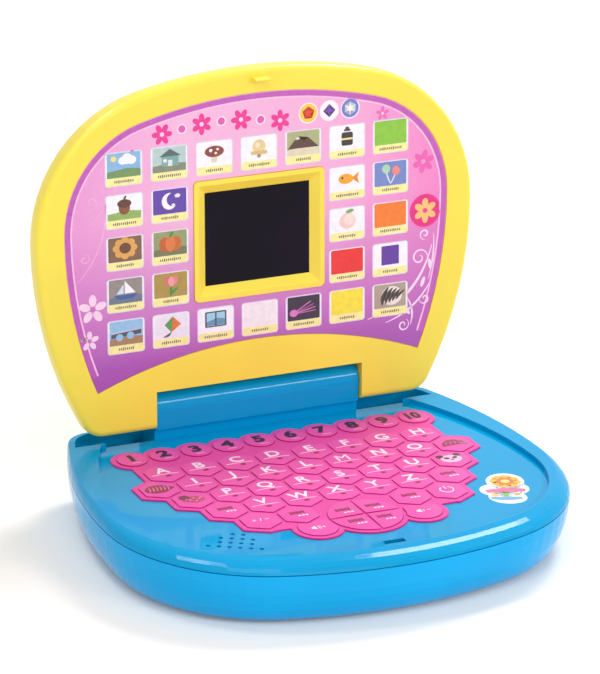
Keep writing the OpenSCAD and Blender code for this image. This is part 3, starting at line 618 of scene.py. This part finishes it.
MUSHROOM = picture(
    WHITE, None,
    (rounded(0, -0.35, 0.36, 0.7, 0.1), (232, 214, 190)),
    (disc(0, 0.2, 0.58, 0.46), (140, 66, 50)),
    (disc(-0.22, 0.3, 0.1, 0.13), WHITE),
    (disc(0.2, 0.36, 0.08, 0.1), WHITE),
    (disc(0.08, 0.05, 0.08, 0.1), WHITE))
ICE_CREAM = picture(
    WHITE, None,
    (disc(0, 0.16, 0.4, 0.56), (232, 206, 150)),
    (rounded(0, -0.34, 1.0, 0.3, 0.1), (220, 190, 128)),
    (disc(0, -0.6, 0.12, 0.16), (180, 146, 92)),
    (disc(-0.1, 0.3, 0.14, 0.24), (246, 230, 190)))
MOUNTAIN = picture(
    (176, 178, 128), (226, 216, 186),
    ([(-0.95, -0.4), (-0.35, 0.6), (0.05, 0.15), (0.3, 0.45), (0.95, -0.4)], (92, 62, 52)),
    ([(-0.5, 0.35), (-0.35, 0.6), (-0.2, 0.4), (-0.35, 0.3)], (226, 220, 210)))
BOTTLE = picture(
    WHITE, None,
    (rounded(0, -0.1, 0.7, 1.1, 0.14), (56, 46, 50)),
    (rounded(0, -0.1, 0.7, 0.16, 0.02), (240, 226, 150)),
    (rounded(0, 0.62, 0.4, 0.16, 0.05), (72, 60, 62)),
    (disc(0, 0.78, 0.12, 0.12), (72, 60, 62)))
PALE, YELLOW, RED = picture((246, 238, 240)), picture((250, 230, 60)), picture((236, 44, 44))
ORANGE, GREEN = picture((246, 126, 38)), picture((140, 200, 60))

# The bottom row first, from left to right; None lets the screen's frame through.
CARDS = [
    [BRIDGE, KITE, WINDOW, PALE, FIREWORK, YELLOW, SHELL],
    [SAILING_BOAT, TULIP, None, None, None, RED, PURPLE_TILE],
    [SUNFLOWER, PUMPKIN, None, None, None, PEACH, ORANGE],
    [ACORN, MOON, None, None, None, FISH, BALLOONS],
    [CLOUDY_DAY, HOUSE, MUSHROOM, ICE_CREAM, MOUNTAIN, BOTTLE, GREEN],
]


def picture_cards():
    """Every card is its own piece."""
    for row, pictures in enumerate(CARDS):
        for column, draw in enumerate(pictures):
            if draw:
                picture_card(row, column, draw)


def picture_card(row, column, draw):
    """Edge, ground, caption strip and a small picture, each over the one before."""
    middle_column = 3
    u, v = CARD_STEP_U * (column - middle_column), FIRST_ROW_V + CARD_STEP_V * row
    p = Print("card_%d_%d" % (row + 1, column + 1), "lid", on_sheet)
    p.shape(rounded(u, v, CARD_W, CARD_H, CARD_R), CARD_EDGE, 1)
    p.shape(rounded(u, v, CARD_W - 2 * CARD_EDGE_W, CARD_H - 2 * CARD_EDGE_W, CARD_R - 0.4), WHITE, 2)
    caption_v = v - (CARD_H - CAPTION_H) / 2 + 0.5
    p.shape(rounded(u, caption_v, CARD_W - 2 * CAPTION_INSET, CAPTION_H, CAPTION_R), CAPTION_YELLOW, 3)
    caption_dashes(p, u, caption_v, 8 + (row * 3 + column * 2) % 5)
    picture_h = CARD_H - CAPTION_H - 2 * CAPTION_INSET
    draw(p, u, v + CAPTION_H / 2, CARD_W - 2 * PICTURE_INSET, picture_h)
    p.finish()


def caption_dashes(p, u, v, count):
    """A short row of plain dashes where a caption would stand."""
    step, width, heights = 1.05, 0.62, (1.2, 1.7, 1.2, 1.3, 1.2)
    for i in range(count):
        tall = heights[i * 3 % len(heights)]
        p.shape(rounded(u + (i - (count - 1) / 2) * step, v, width, tall, 0.25, 2), CAPTION_INK, 4)


# ------------------------ ornaments on the sheet
MAGENTA = (238, 52, 150)
BLUSH = (252, 214, 236)
MAUVE = (206, 110, 190)
SCROLL_PALE = (248, 222, 242)
SCROLL_FAINT = (244, 176, 220)


def flower(p, u, v, r, petals, colour, middle, layer=1, turn=0.0):
    """Petals round a middle. Neighbours lie on different layers."""
    for k in range(petals):
        a = turn + 360 * k / petals
        x, y = math.cos(math.radians(a)), math.sin(math.radians(a))
        petal = disc(u + 0.6 * r * x, v + 0.6 * r * y, 0.42 * r, 0.27 * r, 18, a)
        p.shape(petal, colour, layer + k % 2)
    p.shape(disc(u, v, 0.2 * r, steps=16), middle, layer + 2)


def heading_garland():
    """An arched row of flowers and dots in the heading's place."""
    p = Print("heading_garland", "lid", on_sheet)
    marks, first_u, step, end_v, rise = 7, -52, 10.6, 142.2, 3.2
    for i in range(marks):
        u = first_u + step * i
        v = end_v + rise * math.sin(math.pi * i / (marks - 1))
        if i % 2 == 0:
            flower(p, u, v, 5.4, 6, MAGENTA, (255, 214, 232), 1, 15 * i)
        else:
            p.shape(disc(u, v, 2.6), (252, 226, 240), 1)
            p.shape(disc(u, v, 1.9), (226, 92, 178), 2)
    p.finish()


def heading_discs():
    """Three round marks with a star each, in the place of the heading's small signs."""
    p = Print("heading_discs", "lid", on_sheet)
    v = 144.2
    for u, colour, tips, mark in (
            (27, (252, 206, 70), 5, (232, 70, 50)),
            (38.5, WHITE, 4, (120, 80, 170)),
            (50, (110, 128, 206), 6, WHITE)):
        p.shape(disc(u, v, 5.3), (250, 240, 250), 1)
        p.shape(disc(u, v, 4.7), colour, 2)
        p.shape(star(u, v, 3.4, 0.36, tips), mark, 3)
    p.finish()


def sheet_flowers():
    """Single flowers, up the left side and at the upper right."""
    p = Print("sheet_flowers", "lid", on_sheet)
    for u, v, r, petals, colour, middle in (
            (-68, 131, 5.2, 5, MAGENTA, BLUSH),
            (91, 112, 6.0, 6, (238, 98, 180), (246, 160, 208)),
            (-90, 58, 7.4, 5, BLUSH, MAUVE),
            (-92, 42, 5.0, 5, BLUSH, MAUVE),
            (68, 139.5, 3.6, 5, (238, 110, 186), BLUSH)):
        flower(p, u, v, r, petals, colour, middle, 1, 18)
    p.finish()


# Scrolls are bows of (start, end, bulge, width) and spirals of (u, v, radius, first angle, turns).
RIGHT_BOWS = (((60, 33), (96, 68), -0.3, 1.5),
              ((70, 30), (96, 50), -0.22, 1.1),
              ((94, 50), (97, 74), -0.1, 0.9),
              ((82, 42), (84, 27), 0.25, 1.1))
RIGHT_SPIRALS = ((89, 62, 5.2, -60, 1.4), (92, 74, 3.0, -90, -1.2), (80, 27.5, 3.4, 60, -1.3),
                 (92, 40, 3.0, 180, 1.1))
LEFT_BOWS = (((-98, 72), (-84, 120), -0.28, 0.8),
             ((-92, 100), (-70, 138), -0.2, 0.7),
             ((-60, 112), (-40, 128), 0.4, 0.6))
LEFT_SPIRALS = ((-90, 112, 4.0, 200, 1.2), (-94, 84, 3.0, 90, -1.2), (-76, 127, 3.0, 0, 1.2))


def scrolls(p, bows, spirals, spiral_w, colour):
    """Bows, with spirals over them."""
    for start, end, bulge, width in bows:
        p.band(bow(start, end, bulge), width, colour)
    for u, v, r, a0, turns in spirals:
        p.band(spiral(u, v, r, a0, turns), spiral_w, colour, 2)


def sheet_scrolls():
    """White scrolls with leaves in the lower right corner, fainter ones on the left."""
    p = Print("sheet_scrolls", "lid", on_sheet)
    scrolls(p, RIGHT_BOWS, RIGHT_SPIRALS, 0.9, SCROLL_PALE)
    for u, v, turn in ((77, 35, 30), (91, 49, 70), (95, 58, 100), (82, 35, -50)):
        p.shape(disc(u, v, 2.8, 1.0, 16, turn), SCROLL_PALE, 2)
    scrolls(p, LEFT_BOWS, LEFT_SPIRALS, 0.6, SCROLL_FAINT)
    p.finish()


def sheet_badge():
    """A round badge with a flower."""
    p = Print("sheet_badge", "lid", on_sheet)
    p.shape(disc(BADGE_U, BADGE_V, 8.7, steps=40), (240, 40, 140), 1)
    p.shape(disc(BADGE_U, BADGE_V, 7.8, steps=40), (232, 30, 128), 2)
    flower(p, BADGE_U, BADGE_V, 6.4, 6, (252, 196, 120), (240, 60, 140), 3, 30)
    p.finish()


def front_outline(node, out):
    """The outer edge of a flat node's front face, in order, as points."""
    data = nodes[node].data
    depth = max(v.co.dot(out) for v in data.vertices)
    corners = {}
    for v in data.vertices:
        if depth - v.co.dot(out) < 0.01 * MM:
            corners.setdefault(rounded_place(v.co), v.co.copy())
    edges = []
    for face in data.polygons:
        ring = [rounded_place(data.vertices[i].co) for i in face.vertices]
        if all(place in corners for place in ring):
            edges += zip(ring, ring[1:] + ring[:1])
    known = set(edges)
    ahead = {a: b for a, b in edges if (b, a) not in known}
    loops = []
    while ahead:
        loop, place = [], next(iter(ahead))
        while place in ahead:
            loop.append(corners[place])
            place = ahead.pop(place)
        loops.append(loop)
    return max(loops, key=lambda ring: max(c.x for c in ring))


def rounded_place(co):
    """A point to the micrometre, by which corners of different faces are known as one."""
    return tuple(round(c, 6) for c in co)


def sheet_border():
    """The purple line inside the sheet's edge, along its sides and top, and a paler one inside it."""
    p = Print("sheet_border", "lid", on_sheet)
    edge = front_outline("picture_sheet", lid_out)
    ring = [((c - hinge).x / MM, (c - hinge).dot(lid_up) / MM) for c in edge]
    # The foot has no border: its pieces of edge lie below foot_v and climb less than low_climb.
    middle_v, foot_v, low_climb = 70.0, 36, 10
    for outer, inner, colour in ((0.35, 3.1, (196, 92, 186)), (3.1, 4.0, (250, 196, 228))):
        for (u0, v0), (u1, v1) in zip(ring, ring[1:] + ring[:1]):
            du, dv = u1 - u0, v1 - v0
            if min(v0, v1) < foot_v and abs(dv) < low_climb:
                continue
            length = math.hypot(du, dv)
            side = 1 if (middle_v - v0) * du + u0 * dv > 0 else -1
            nu, nv = -dv / length * side, du / length * side
            p.shape([(u0 + nu * outer, v0 + nv * outer), (u1 + nu * outer, v1 + nv * outer),
                     (u1 + nu * inner, v1 + nv * inner), (u0 + nu * inner, v0 + nv * inner)], colour)
    p.finish()


# ------------------------ prints that follow a surface
def surface(node):
    """A function that gives the height of a node's top at (x, y)."""
    data = nodes[node].data
    corners = [v.co for v in data.vertices]
    tree = BVHTree.FromPolygons(corners, [tuple(f.vertices) for f in data.polygons])

    def height(x, y):
        hit = tree.ray_cast(Vector((x, y, 1.0)), Vector((0, 0, -1)))[0]
        return hit.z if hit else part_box(node)[1].z
    return height


def middle_of(node):
    """The middle of a node's box."""
    low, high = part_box(node)
    return (low + high) / 2


def box_middle(points):
    """The middle of the points' box, seen from above."""
    xs, ys = [c.x for c in points], [c.y for c in points]
    return Vector(((min(xs) + max(xs)) / 2, (min(ys) + max(ys)) / 2, 0))


def islands(node):
    """The separate solids of a node as their boxes' middles, from left to right."""
    mesh = bmesh.new()
    mesh.from_mesh(nodes[node].data)
    bmesh.ops.remove_doubles(mesh, verts=mesh.verts[:], dist=0.01 * MM)
    middles, seen = [], set()
    for first in mesh.verts:
        if first in seen:
            continue
        stack, group = [first], []
        seen.add(first)
        while stack:
            v = stack.pop()
            group.append(v.co.copy())
            for edge in v.link_edges:
                other = edge.other_vert(v)
                if other not in seen:
                    seen.add(other)
                    stack.append(other)
        middles.append(box_middle(group))
    mesh.free()
    return sorted(middles, key=lambda c: (round(c.x, 4), c.y))


class KeyPrint(Print):
    """A print on a key's low dome, in millimetres times size, from a point on it or from its middle."""
    def __init__(self, name, node, middle=None, size=1.0):
        height = surface(node)
        middle = middle_of(node) if middle is None else middle

        def place(u, v, lift):
            x, y = middle.x + size * u * MM, middle.y + size * v * MM
            return Vector((x, y, height(x, y) + lift + INK))
        super().__init__(name, node, place)

    def glyph(self, text, v, size, colour, weight, stretch):
        """Text centred on (0, v), made bolder by weight and wider by stretch."""
        flat = font_mesh(text, size, weight)
        cut_long_edges(flat, 1.6 * MM, 2)
        middle = box_middle([w.co for w in flat.verts])
        self.solid(flat, lambda c: ((c.x - middle.x) / MM * stretch, v + (c.y - middle.y) / MM), colour)

    def solid(self, flat, where, colour, layer=2):
        """Lays a flat mesh on the key and gives it its thickness."""
        index = self.slot(ink(colour))
        top = {w: self.mesh.verts.new(self.place(*where(w.co), layer * INK)) for w in flat.verts}
        bottom = {w: self.mesh.verts.new(self.place(*where(w.co), -INK)) for w in flat.verts}
        for face in flat.faces:
            ring = list(face.verts) if face.normal.z > 0 else list(face.verts)[::-1]
            if self.mesh.faces.get([top[w] for w in ring]):
                continue
            self.mesh.faces.new([top[w] for w in ring]).material_index = index
            self.mesh.faces.new([bottom[w] for w in ring[::-1]]).material_index = index
            for a, b in zip(ring, ring[1:] + ring[:1]):
                edge = flat.edges.get((a, b))
                if edge.is_boundary:
                    self.mesh.faces.new((top[b], top[a], bottom[a], bottom[b])).material_index = index
        flat.free()

    def shape(self, outline, colour, layer=1):
        """A filled outline, cut fine enough to follow the dome."""
        flat = bmesh.new()
        flat.faces.new([flat.verts.new((u * MM, v * MM, 0)) for u, v in counterclockwise(outline)])
        bmesh.ops.triangulate(flat, faces=flat.faces[:], ngon_method="EAR_CLIP")
        cut_long_edges(flat, 2.2 * MM, 4)
        flat.normal_update()
        self.solid(flat, lambda c: (c.x / MM, c.y / MM), colour, layer + 1)


def font_mesh(text, size, weight):
    """Text in Blender's own plain font, as a flat mesh of triangles in metres."""
    curve = bpy.data.curves.new("glyph", "FONT")
    curve.body, curve.size = text, size * MM
    curve.offset = weight * MM
    curve.align_x, curve.align_y = "CENTER", "CENTER"
    curve.resolution_u = 3
    holder = bpy.data.objects.new("glyph", curve)
    data = bpy.data.meshes.new_from_object(holder)
    bpy.data.objects.remove(holder)
    flat = bmesh.new()
    flat.from_mesh(data)
    bpy.data.meshes.remove(data)
    bpy.data.curves.remove(curve)
    bmesh.ops.remove_doubles(flat, verts=flat.verts[:], dist=0.01 * MM)
    bmesh.ops.dissolve_degenerate(flat, edges=flat.edges[:], dist=0.01 * MM)
    bmesh.ops.triangulate(flat, faces=flat.faces[:])
    return flat


def cut_long_edges(mesh, longest, times):
    """Halves every edge that is longer than longest, a few times over, and leaves triangles."""
    for _ in range(times):
        long_edges = [e for e in mesh.edges if e.calc_length() > longest]
        if long_edges:
            bmesh.ops.subdivide_edges(mesh, edges=long_edges, cuts=1)
            bmesh.ops.triangulate(mesh, faces=mesh.faces[:])


# ------------------------ legends on the keys
KEY_WHITE = (252, 232, 244)
KEY_BROWN = (146, 30, 82)
KEY_DARK = (58, 10, 38)


def bar(p, u, v, w, h, colour=KEY_WHITE, layer=1, r=0.15):
    """A small bar with round ends."""
    p.shape(rounded(u, v, w, h, r, 2), colour, layer)


def plus(p, u, v, length):
    """Two crossing bars, the upright one over the other."""
    bar(p, u, v, length, STROKE)
    bar(p, u, v, STROKE, length, KEY_WHITE, 2)


def letter_legends():
    """A letter over a thin rule and a small mark, on each letter key."""
    for letter in string.ascii_lowercase:
        p = KeyPrint("legend_" + letter, "key_" + letter)
        # The font's M crosses itself when it is made bolder.
        weight = 0.0 if letter == "m" else LETTER_WEIGHT
        p.glyph(letter.upper(), LETTER_V, LETTER_SIZE, KEY_WHITE, weight, LETTER_STRETCH)
        bar(p, 0, -1.3, 14.2, 0.34, r=0.16)
        bar(p, 0.9, -3.6, 2.6, 1.7, KEY_BROWN, r=0.4)
        p.finish()


def number_legends():
    """A bold number over a short rule, on each number key."""
    for i in range(1, 11):
        p = KeyPrint("legend_%d" % i, "key_%d" % i)
        p.glyph(str(i), DIGIT_V, DIGIT_SIZE, KEY_DARK, DIGIT_WEIGHT, 1.15 if i < 10 else 0.85)
        bar(p, 0.6, -4.6, 5.0, 0.5, (250, 170, 216), r=0.2)
        p.finish()


def word_marks(p, u, v):
    """Plain bars in the place of a key's two small words."""
    for k in range(5):
        bar(p, u - 3.4 + 1.6 * k, v + 1.3, 1.3, 3.0 - 0.4 * (k % 2), KEY_BROWN, r=0.3)
    for k in range(3):
        bar(p, u - 0.4 + 1.9 * k, v - 2.4, 1.4, 1.1, r=0.3)


def arc_path(u, v, r, a0, a1, steps=20):
    """Points on a circle from angle a0 to a1, in degrees."""
    turns = [math.radians(a0 + (a1 - a0) * i / steps) for i in range(steps + 1)]
    return [(u + r * math.cos(a), v + r * math.sin(a)) for a in turns]


def volume_legends():
    """A loudspeaker with two waves and a plus, or with one wave and a minus."""
    u, v = -0.5, -0.6
    for node, waves in (("volume_up_key", (1.4, 2.4)), ("volume_down_key", (1.4,))):
        p = KeyPrint("legend_" + node, node)
        p.shape([(u - 3.2, v - 0.7), (u - 2.2, v - 0.7), (u - 0.8, v - 1.9), (u - 0.8, v + 1.9),
                 (u - 2.2, v + 0.7), (u - 3.2, v + 0.7)], KEY_WHITE)
        for r in waves:
            p.band(arc_path(u - 0.8, v, r, -50, 50, 8), STROKE, KEY_WHITE, 1, 1)
        if node == "volume_up_key":
            plus(p, u + 3.2, v, 2.0)
        else:
            bar(p, u + 3.2, v, 2.0, STROKE)
        p.finish()


def power_legend():
    """A ring open at the top, with a bar in its gap."""
    p = KeyPrint("legend_power", "power_key")
    p.band(arc_path(0, 0.4, 3.4, 120, 420), 0.6, KEY_WHITE, 1, 1)
    bar(p, 0, 2.9, 0.6, 3.4, KEY_WHITE, 2, 0.25)
    p.finish()


def cursor_pad_legend():
    """Word marks on the pad's four quarters."""
    p = KeyPrint("legend_cursor_pad", "cursor_pad")
    for u, v in ((-8.0, 7.0), (8.0, 7.0), (-7.6, -7.0), (7.6, -7.0)):
        word_marks(p, u, v)
    p.finish()


def mode_legends():
    """Plus and minus on one mode key and word marks on the others."""
    middles = islands("mode_keys")
    for k, middle in enumerate(middles):
        p = KeyPrint("legend_mode_%d" % (k + 1), "mode_keys", middle)
        if middle == plus_minus_key(middles):
            plus(p, -3.4, 0, 2.2)
            p.shape([(-0.8, -1.6), (-0.3, -1.6), (0.8, 1.6), (0.3, 1.6)], KEY_WHITE)
            bar(p, 3.2, 0, 2.2, STROKE)
        else:
            word_marks(p, 0, 0)
        p.finish()


def plus_minus_key(middles):
    """The leftmost mode key of the row nearest the user."""
    front = min(m.y for m in middles)
    return min((m for m in middles if m.y - front < 1 * MM), key=lambda m: m.x)


def picture_legends():
    """A small drawing on each picture key."""
    drawings = (draw_shell, draw_strawberry, draw_bear, draw_hedgehog)
    for k, (middle, draw) in enumerate(zip(islands("picture_keys"), drawings)):
        p = KeyPrint("legend_picture_%d" % (k + 1), "picture_keys", middle, PICTURE_LEGEND_SIZE)
        draw(p)
        p.finish()


def draw_shell(p):
    """A ribbed shell, pointed at its right end."""
    p.shape(disc(-0.8, 0, 5.0, 3.6, 24), KEY_BROWN)
    p.shape([(3.4, 2.0), (6.4, 0.2), (3.4, -2.0)], KEY_BROWN)
    for k in range(6):
        rib = bow((-4.6 + 1.5 * k, -2.2), (-3.6 + 1.5 * k, 2.4), -0.2)
        p.shape(ribbon(rib, 0.34), (222, 120, 160), 2)


def draw_strawberry(p):
    """A strawberry on its side, with its leaves on the left."""
    berry = [(-4.4, 1.4), (-3.4, 3.0), (-0.5, 2.8), (2.4, 2.6), (4.8, 0.8),
             (5.0, -1.0), (3.4, -2.6), (0.4, -3.4), (-2.6, -2.4), (-4.4, -0.6)]
    p.shape([(0.95 * u, 0.95 * v) for u, v in berry], (190, 66, 118))
    p.shape(star(-2.6, 2.2, 2.4, 0.4, 5, 60), (120, 40, 70), 2)
    for u, v in ((-1.2, -0.6), (0.6, 0.8), (2.4, -0.2), (0.8, -1.8), (3.4, 0.8), (-2.4, 0.4)):
        p.shape(disc(u, v, 0.36, steps=8), (250, 176, 206), 2)


def draw_bear(p):
    """A bear's face with dark ears and eyes."""
    p.shape(disc(0, -0.2, 4.3, 3.5, 24), (250, 190, 222))
    for side in (-1, 1):
        p.shape(disc(3.6 * side, 2.9, 1.5, steps=14), KEY_DARK, 2)
        p.shape(disc(1.7 * side, 0.4, 1.2, 0.9, 14, 30 * side), KEY_DARK, 2)
    p.shape(disc(0, -1.2, 0.8, 0.5, 12), KEY_DARK, 2)


def draw_hedgehog(p):
    """A half round of spikes with a snout."""
    spikes = []
    for k, a in enumerate(range(0, 181, 12)):
        x, y = math.cos(math.radians(a)), math.sin(math.radians(a))
        reach = 1.0 if k % 2 else 0.82
        spikes.append((5.2 * x * reach, -1.8 + 5.4 * y * reach))
    p.shape(spikes, KEY_BROWN)
    p.shape(disc(4.0, -1.2, 1.9, 1.0, 14), (176, 84, 116), 2)
    for k in range(4):
        spine = bow((-3.4 + 2.0 * k, -0.8), (-2.6 + 1.8 * k, 1.8), -0.1)
        p.shape(ribbon(spine, 0.3), (232, 130, 170), 2)


# ------------------------ sticker on the deck
def deck_sticker():
    """A plain sticker with a flower and two ribbons, where the deck carries its own."""
    height = surface("upper_housing")

    def place(u, v, lift):
        at = STICKER_MIDDLE + u * MM * STICKER_ACROSS + v * MM * STICKER_AWAY
        return Vector((at.x, at.y, height(at.x, at.y) + lift))
    p = Print("deck_sticker", "base", place)
    for u, v, r, squash in ((0, 8.5, 9.5, 1.05), (-2, -3, 10.5, 0.8),
                            (1.5, -11, 9.5, 0.85), (5, 0, 7, 1.0)):
        p.shape(disc(u, v, r, squash * r, 36), (240, 246, 250), 1)
    flower_v, petals, petal_out = 8.5, 8, 4.9
    for k in range(petals):
        a = math.tau * k / petals
        u, v = petal_out * math.cos(a), flower_v + petal_out * math.sin(a)
        p.shape(disc(u, v, 2.9, steps=20), (250, 190, 70), 2)
    p.shape(disc(0, flower_v, 4.4, steps=28), (236, 120, 60), 3)
    p.shape(disc(0, flower_v, 2.2, steps=20), (252, 226, 120), 4)
    p.band(bow((-9, -5.5), (10, -1.5), 0.12), 4.6, (226, 110, 160), 3, 0.7)
    p.band(bow((-6.5, -13), (8.5, -11), -0.12), 4.0, (110, 176, 214), 3, 0.6)
    for u, v, r, colour in ((-5, -9.4, 1.6, (250, 206, 90)), (0.5, -8, 1.9, (132, 190, 96)),
                            (6, -7, 1.5, (250, 170, 80))):
        p.shape(disc(u, v, r, steps=16), colour, 4)
    p.finish()


def crisp_edges():
    """Smooth shading on the solids, broken where faces meet at more than 28 degrees."""
    for node in nodes.values():
        node.data.polygons.foreach_set("use_smooth", [True] * len(node.data.polygons))
        split = node.modifiers.new("crisp_edges", "EDGE_SPLIT")
        split.split_angle = math.radians(28)


picture_cards()
heading_garland()
heading_discs()
sheet_flowers()
sheet_scrolls()
sheet_badge()
sheet_border()
letter_legends()
number_legends()
volume_legends()
power_legend()
cursor_pad_legend()
mode_legends()
picture_legends()
deck_sticker()
crisp_edges()


# ------------------------ stage, light and camera
def seen_directly(tree):
    """1 for what the camera sees itself, or in a mirror or through glass, and 0 for light."""
    path = tree.nodes.new("ShaderNodeLightPath")
    seen = path.outputs["Is Camera Ray"]
    for ray in ("Is Glossy Ray", "Is Transmission Ray"):
        either = tree.nodes.new("ShaderNodeMath")
        either.operation = "MAXIMUM"
        tree.links.new(seen, either.inputs[0])
        tree.links.new(path.outputs[ray], either.inputs[1])
        seen = either.outputs[0]
    return seen


def floor():
    """A pale floor, slightly warm near the toy, which evens out the blue that the toy throws on it."""
    size, near, far = 3.0, 0.2, 0.45
    data = bpy.data.meshes.new("floor")
    data.from_pydata([(-size, -size, 0), (size, -size, 0), (size, size, 0), (-size, size, 0)], [],
                     [(0, 1, 2, 3)])
    obj = bpy.data.objects.new("floor", data)
    obj.location.z = cad_low.z - 0.02 * MM
    bpy.context.scene.collection.objects.link(obj)
    m = Nodes("floor_white", roughness=0.9)
    distance = m.add("ShaderNodeVectorMath", operation="LENGTH")
    m.feed(distance.inputs[0], m.place)
    white = m.ramp(m.noise(4, 2), [(0.3, grey(0.91)), (0.7, grey(0.93))])
    warm = (0.92, 0.87, 0.82, 1.0)
    m.colour(m.mix(m.span(distance.outputs["Value"], near, far), warm, white))
    glow = m.add("ShaderNodeEmission")
    glow.inputs["Color"].default_value = grey(1)
    m.feed(glow.inputs["Strength"], m.product(seen_directly(m.tree), 0.12))
    both = m.add("ShaderNodeAddShader")
    m.feed(both.inputs[0], m.shader.outputs["BSDF"])
    m.feed(both.inputs[1], glow.outputs[0])
    m.feed(m.tree.nodes["Material Output"].inputs["Surface"], both.outputs[0])
    data.materials.append(m.material)


def world():
    """White to the camera, in mirrors and through glass, and a softer light on everything."""
    scene = bpy.context.scene
    scene.world = bpy.data.worlds.new("studio")
    scene.world.use_nodes = True
    tree = scene.world.node_tree
    lit = tree.nodes["Background"]
    lit.inputs["Color"].default_value = grey(1)
    lit.inputs["Strength"].default_value = 0.45
    white = tree.nodes.new("ShaderNodeBackground")
    white.inputs["Color"].default_value = grey(1)
    white.inputs["Strength"].default_value = 1.0
    mix = tree.nodes.new("ShaderNodeMixShader")
    tree.links.new(seen_directly(tree), mix.inputs[0])
    tree.links.new(lit.outputs[0], mix.inputs[1])
    tree.links.new(white.outputs[0], mix.inputs[2])
    tree.links.new(mix.outputs[0], tree.nodes["World Output"].inputs["Surface"])


def softbox(name, at, towards, width, height, watts):
    """A rectangular lamp at a place, turned towards another."""
    data = bpy.data.lights.new(name, "AREA")
    data.shape, data.size, data.size_y, data.energy = "RECTANGLE", width, height, watts
    light = bpy.data.objects.new(name, data)
    light.location = at
    light.rotation_mode = "QUATERNION"
    light.rotation_quaternion = (Vector(towards) - Vector(at)).to_track_quat("-Z", "Y")
    bpy.context.scene.collection.objects.link(light)


def camera():
    """A long lens from the left and above."""
    azimuth, elevation, roll = math.radians(-25.871), math.radians(20.966), math.radians(1.713)
    distance = 2.145
    target = Vector((0.01689, 0.06277, 0.08194))
    back = Vector((math.sin(azimuth) * math.cos(elevation), -math.cos(azimuth) * math.cos(elevation),
                   math.sin(elevation)))
    right = Vector((math.cos(azimuth), math.sin(azimuth), 0))
    turn = Matrix((right, back.cross(right), back)).transposed() @ Matrix.Rotation(roll, 3, "Z")
    data = bpy.data.cameras.new("camera")
    data.sensor_width, data.lens = 36.0, 229.5
    data.clip_start, data.clip_end = 0.1, 20
    obj = bpy.data.objects.new("camera", data)
    obj.rotation_mode = "QUATERNION"
    obj.rotation_quaternion = turn.to_quaternion()
    obj.location = target + back * distance
    bpy.context.scene.collection.objects.link(obj)
    bpy.context.scene.camera = obj


floor()
world()
# Each is given its place, what it is turned to, its width and height, and its power. The barrel and rim
# lights lie about where the barrel's front and the rim's edge mirror them to the camera.
softbox("key_light", (-0.7, -1.0, 1.5), (0, 0, 0.08), 0.9, 0.9, 7.5)
softbox("front_light", (-0.1, -1.6, 0.4), (0, 0, 0.06), 1.2, 0.5, 2.5)
softbox("fill_light", (1.2, -0.6, 0.9), (0, 0, 0.08), 0.8, 0.8, 1.5)
softbox("barrel_light", (0.78, -1.8, 1.15), (0, 0.07, 0.05), 0.6, 0.16, 8.5)
softbox("rim_light", (0.78, 0.5, 1.2), (0.78, 0.501, 0), 0.56, 0.4, 13)
softbox("short_rim_light", (-0.45, 0.15, 1.2), (-0.45, 0.151, 0), 0.3, 0.2, 2.5)
camera()
bpy.context.scene.view_settings.view_transform = "Standard"
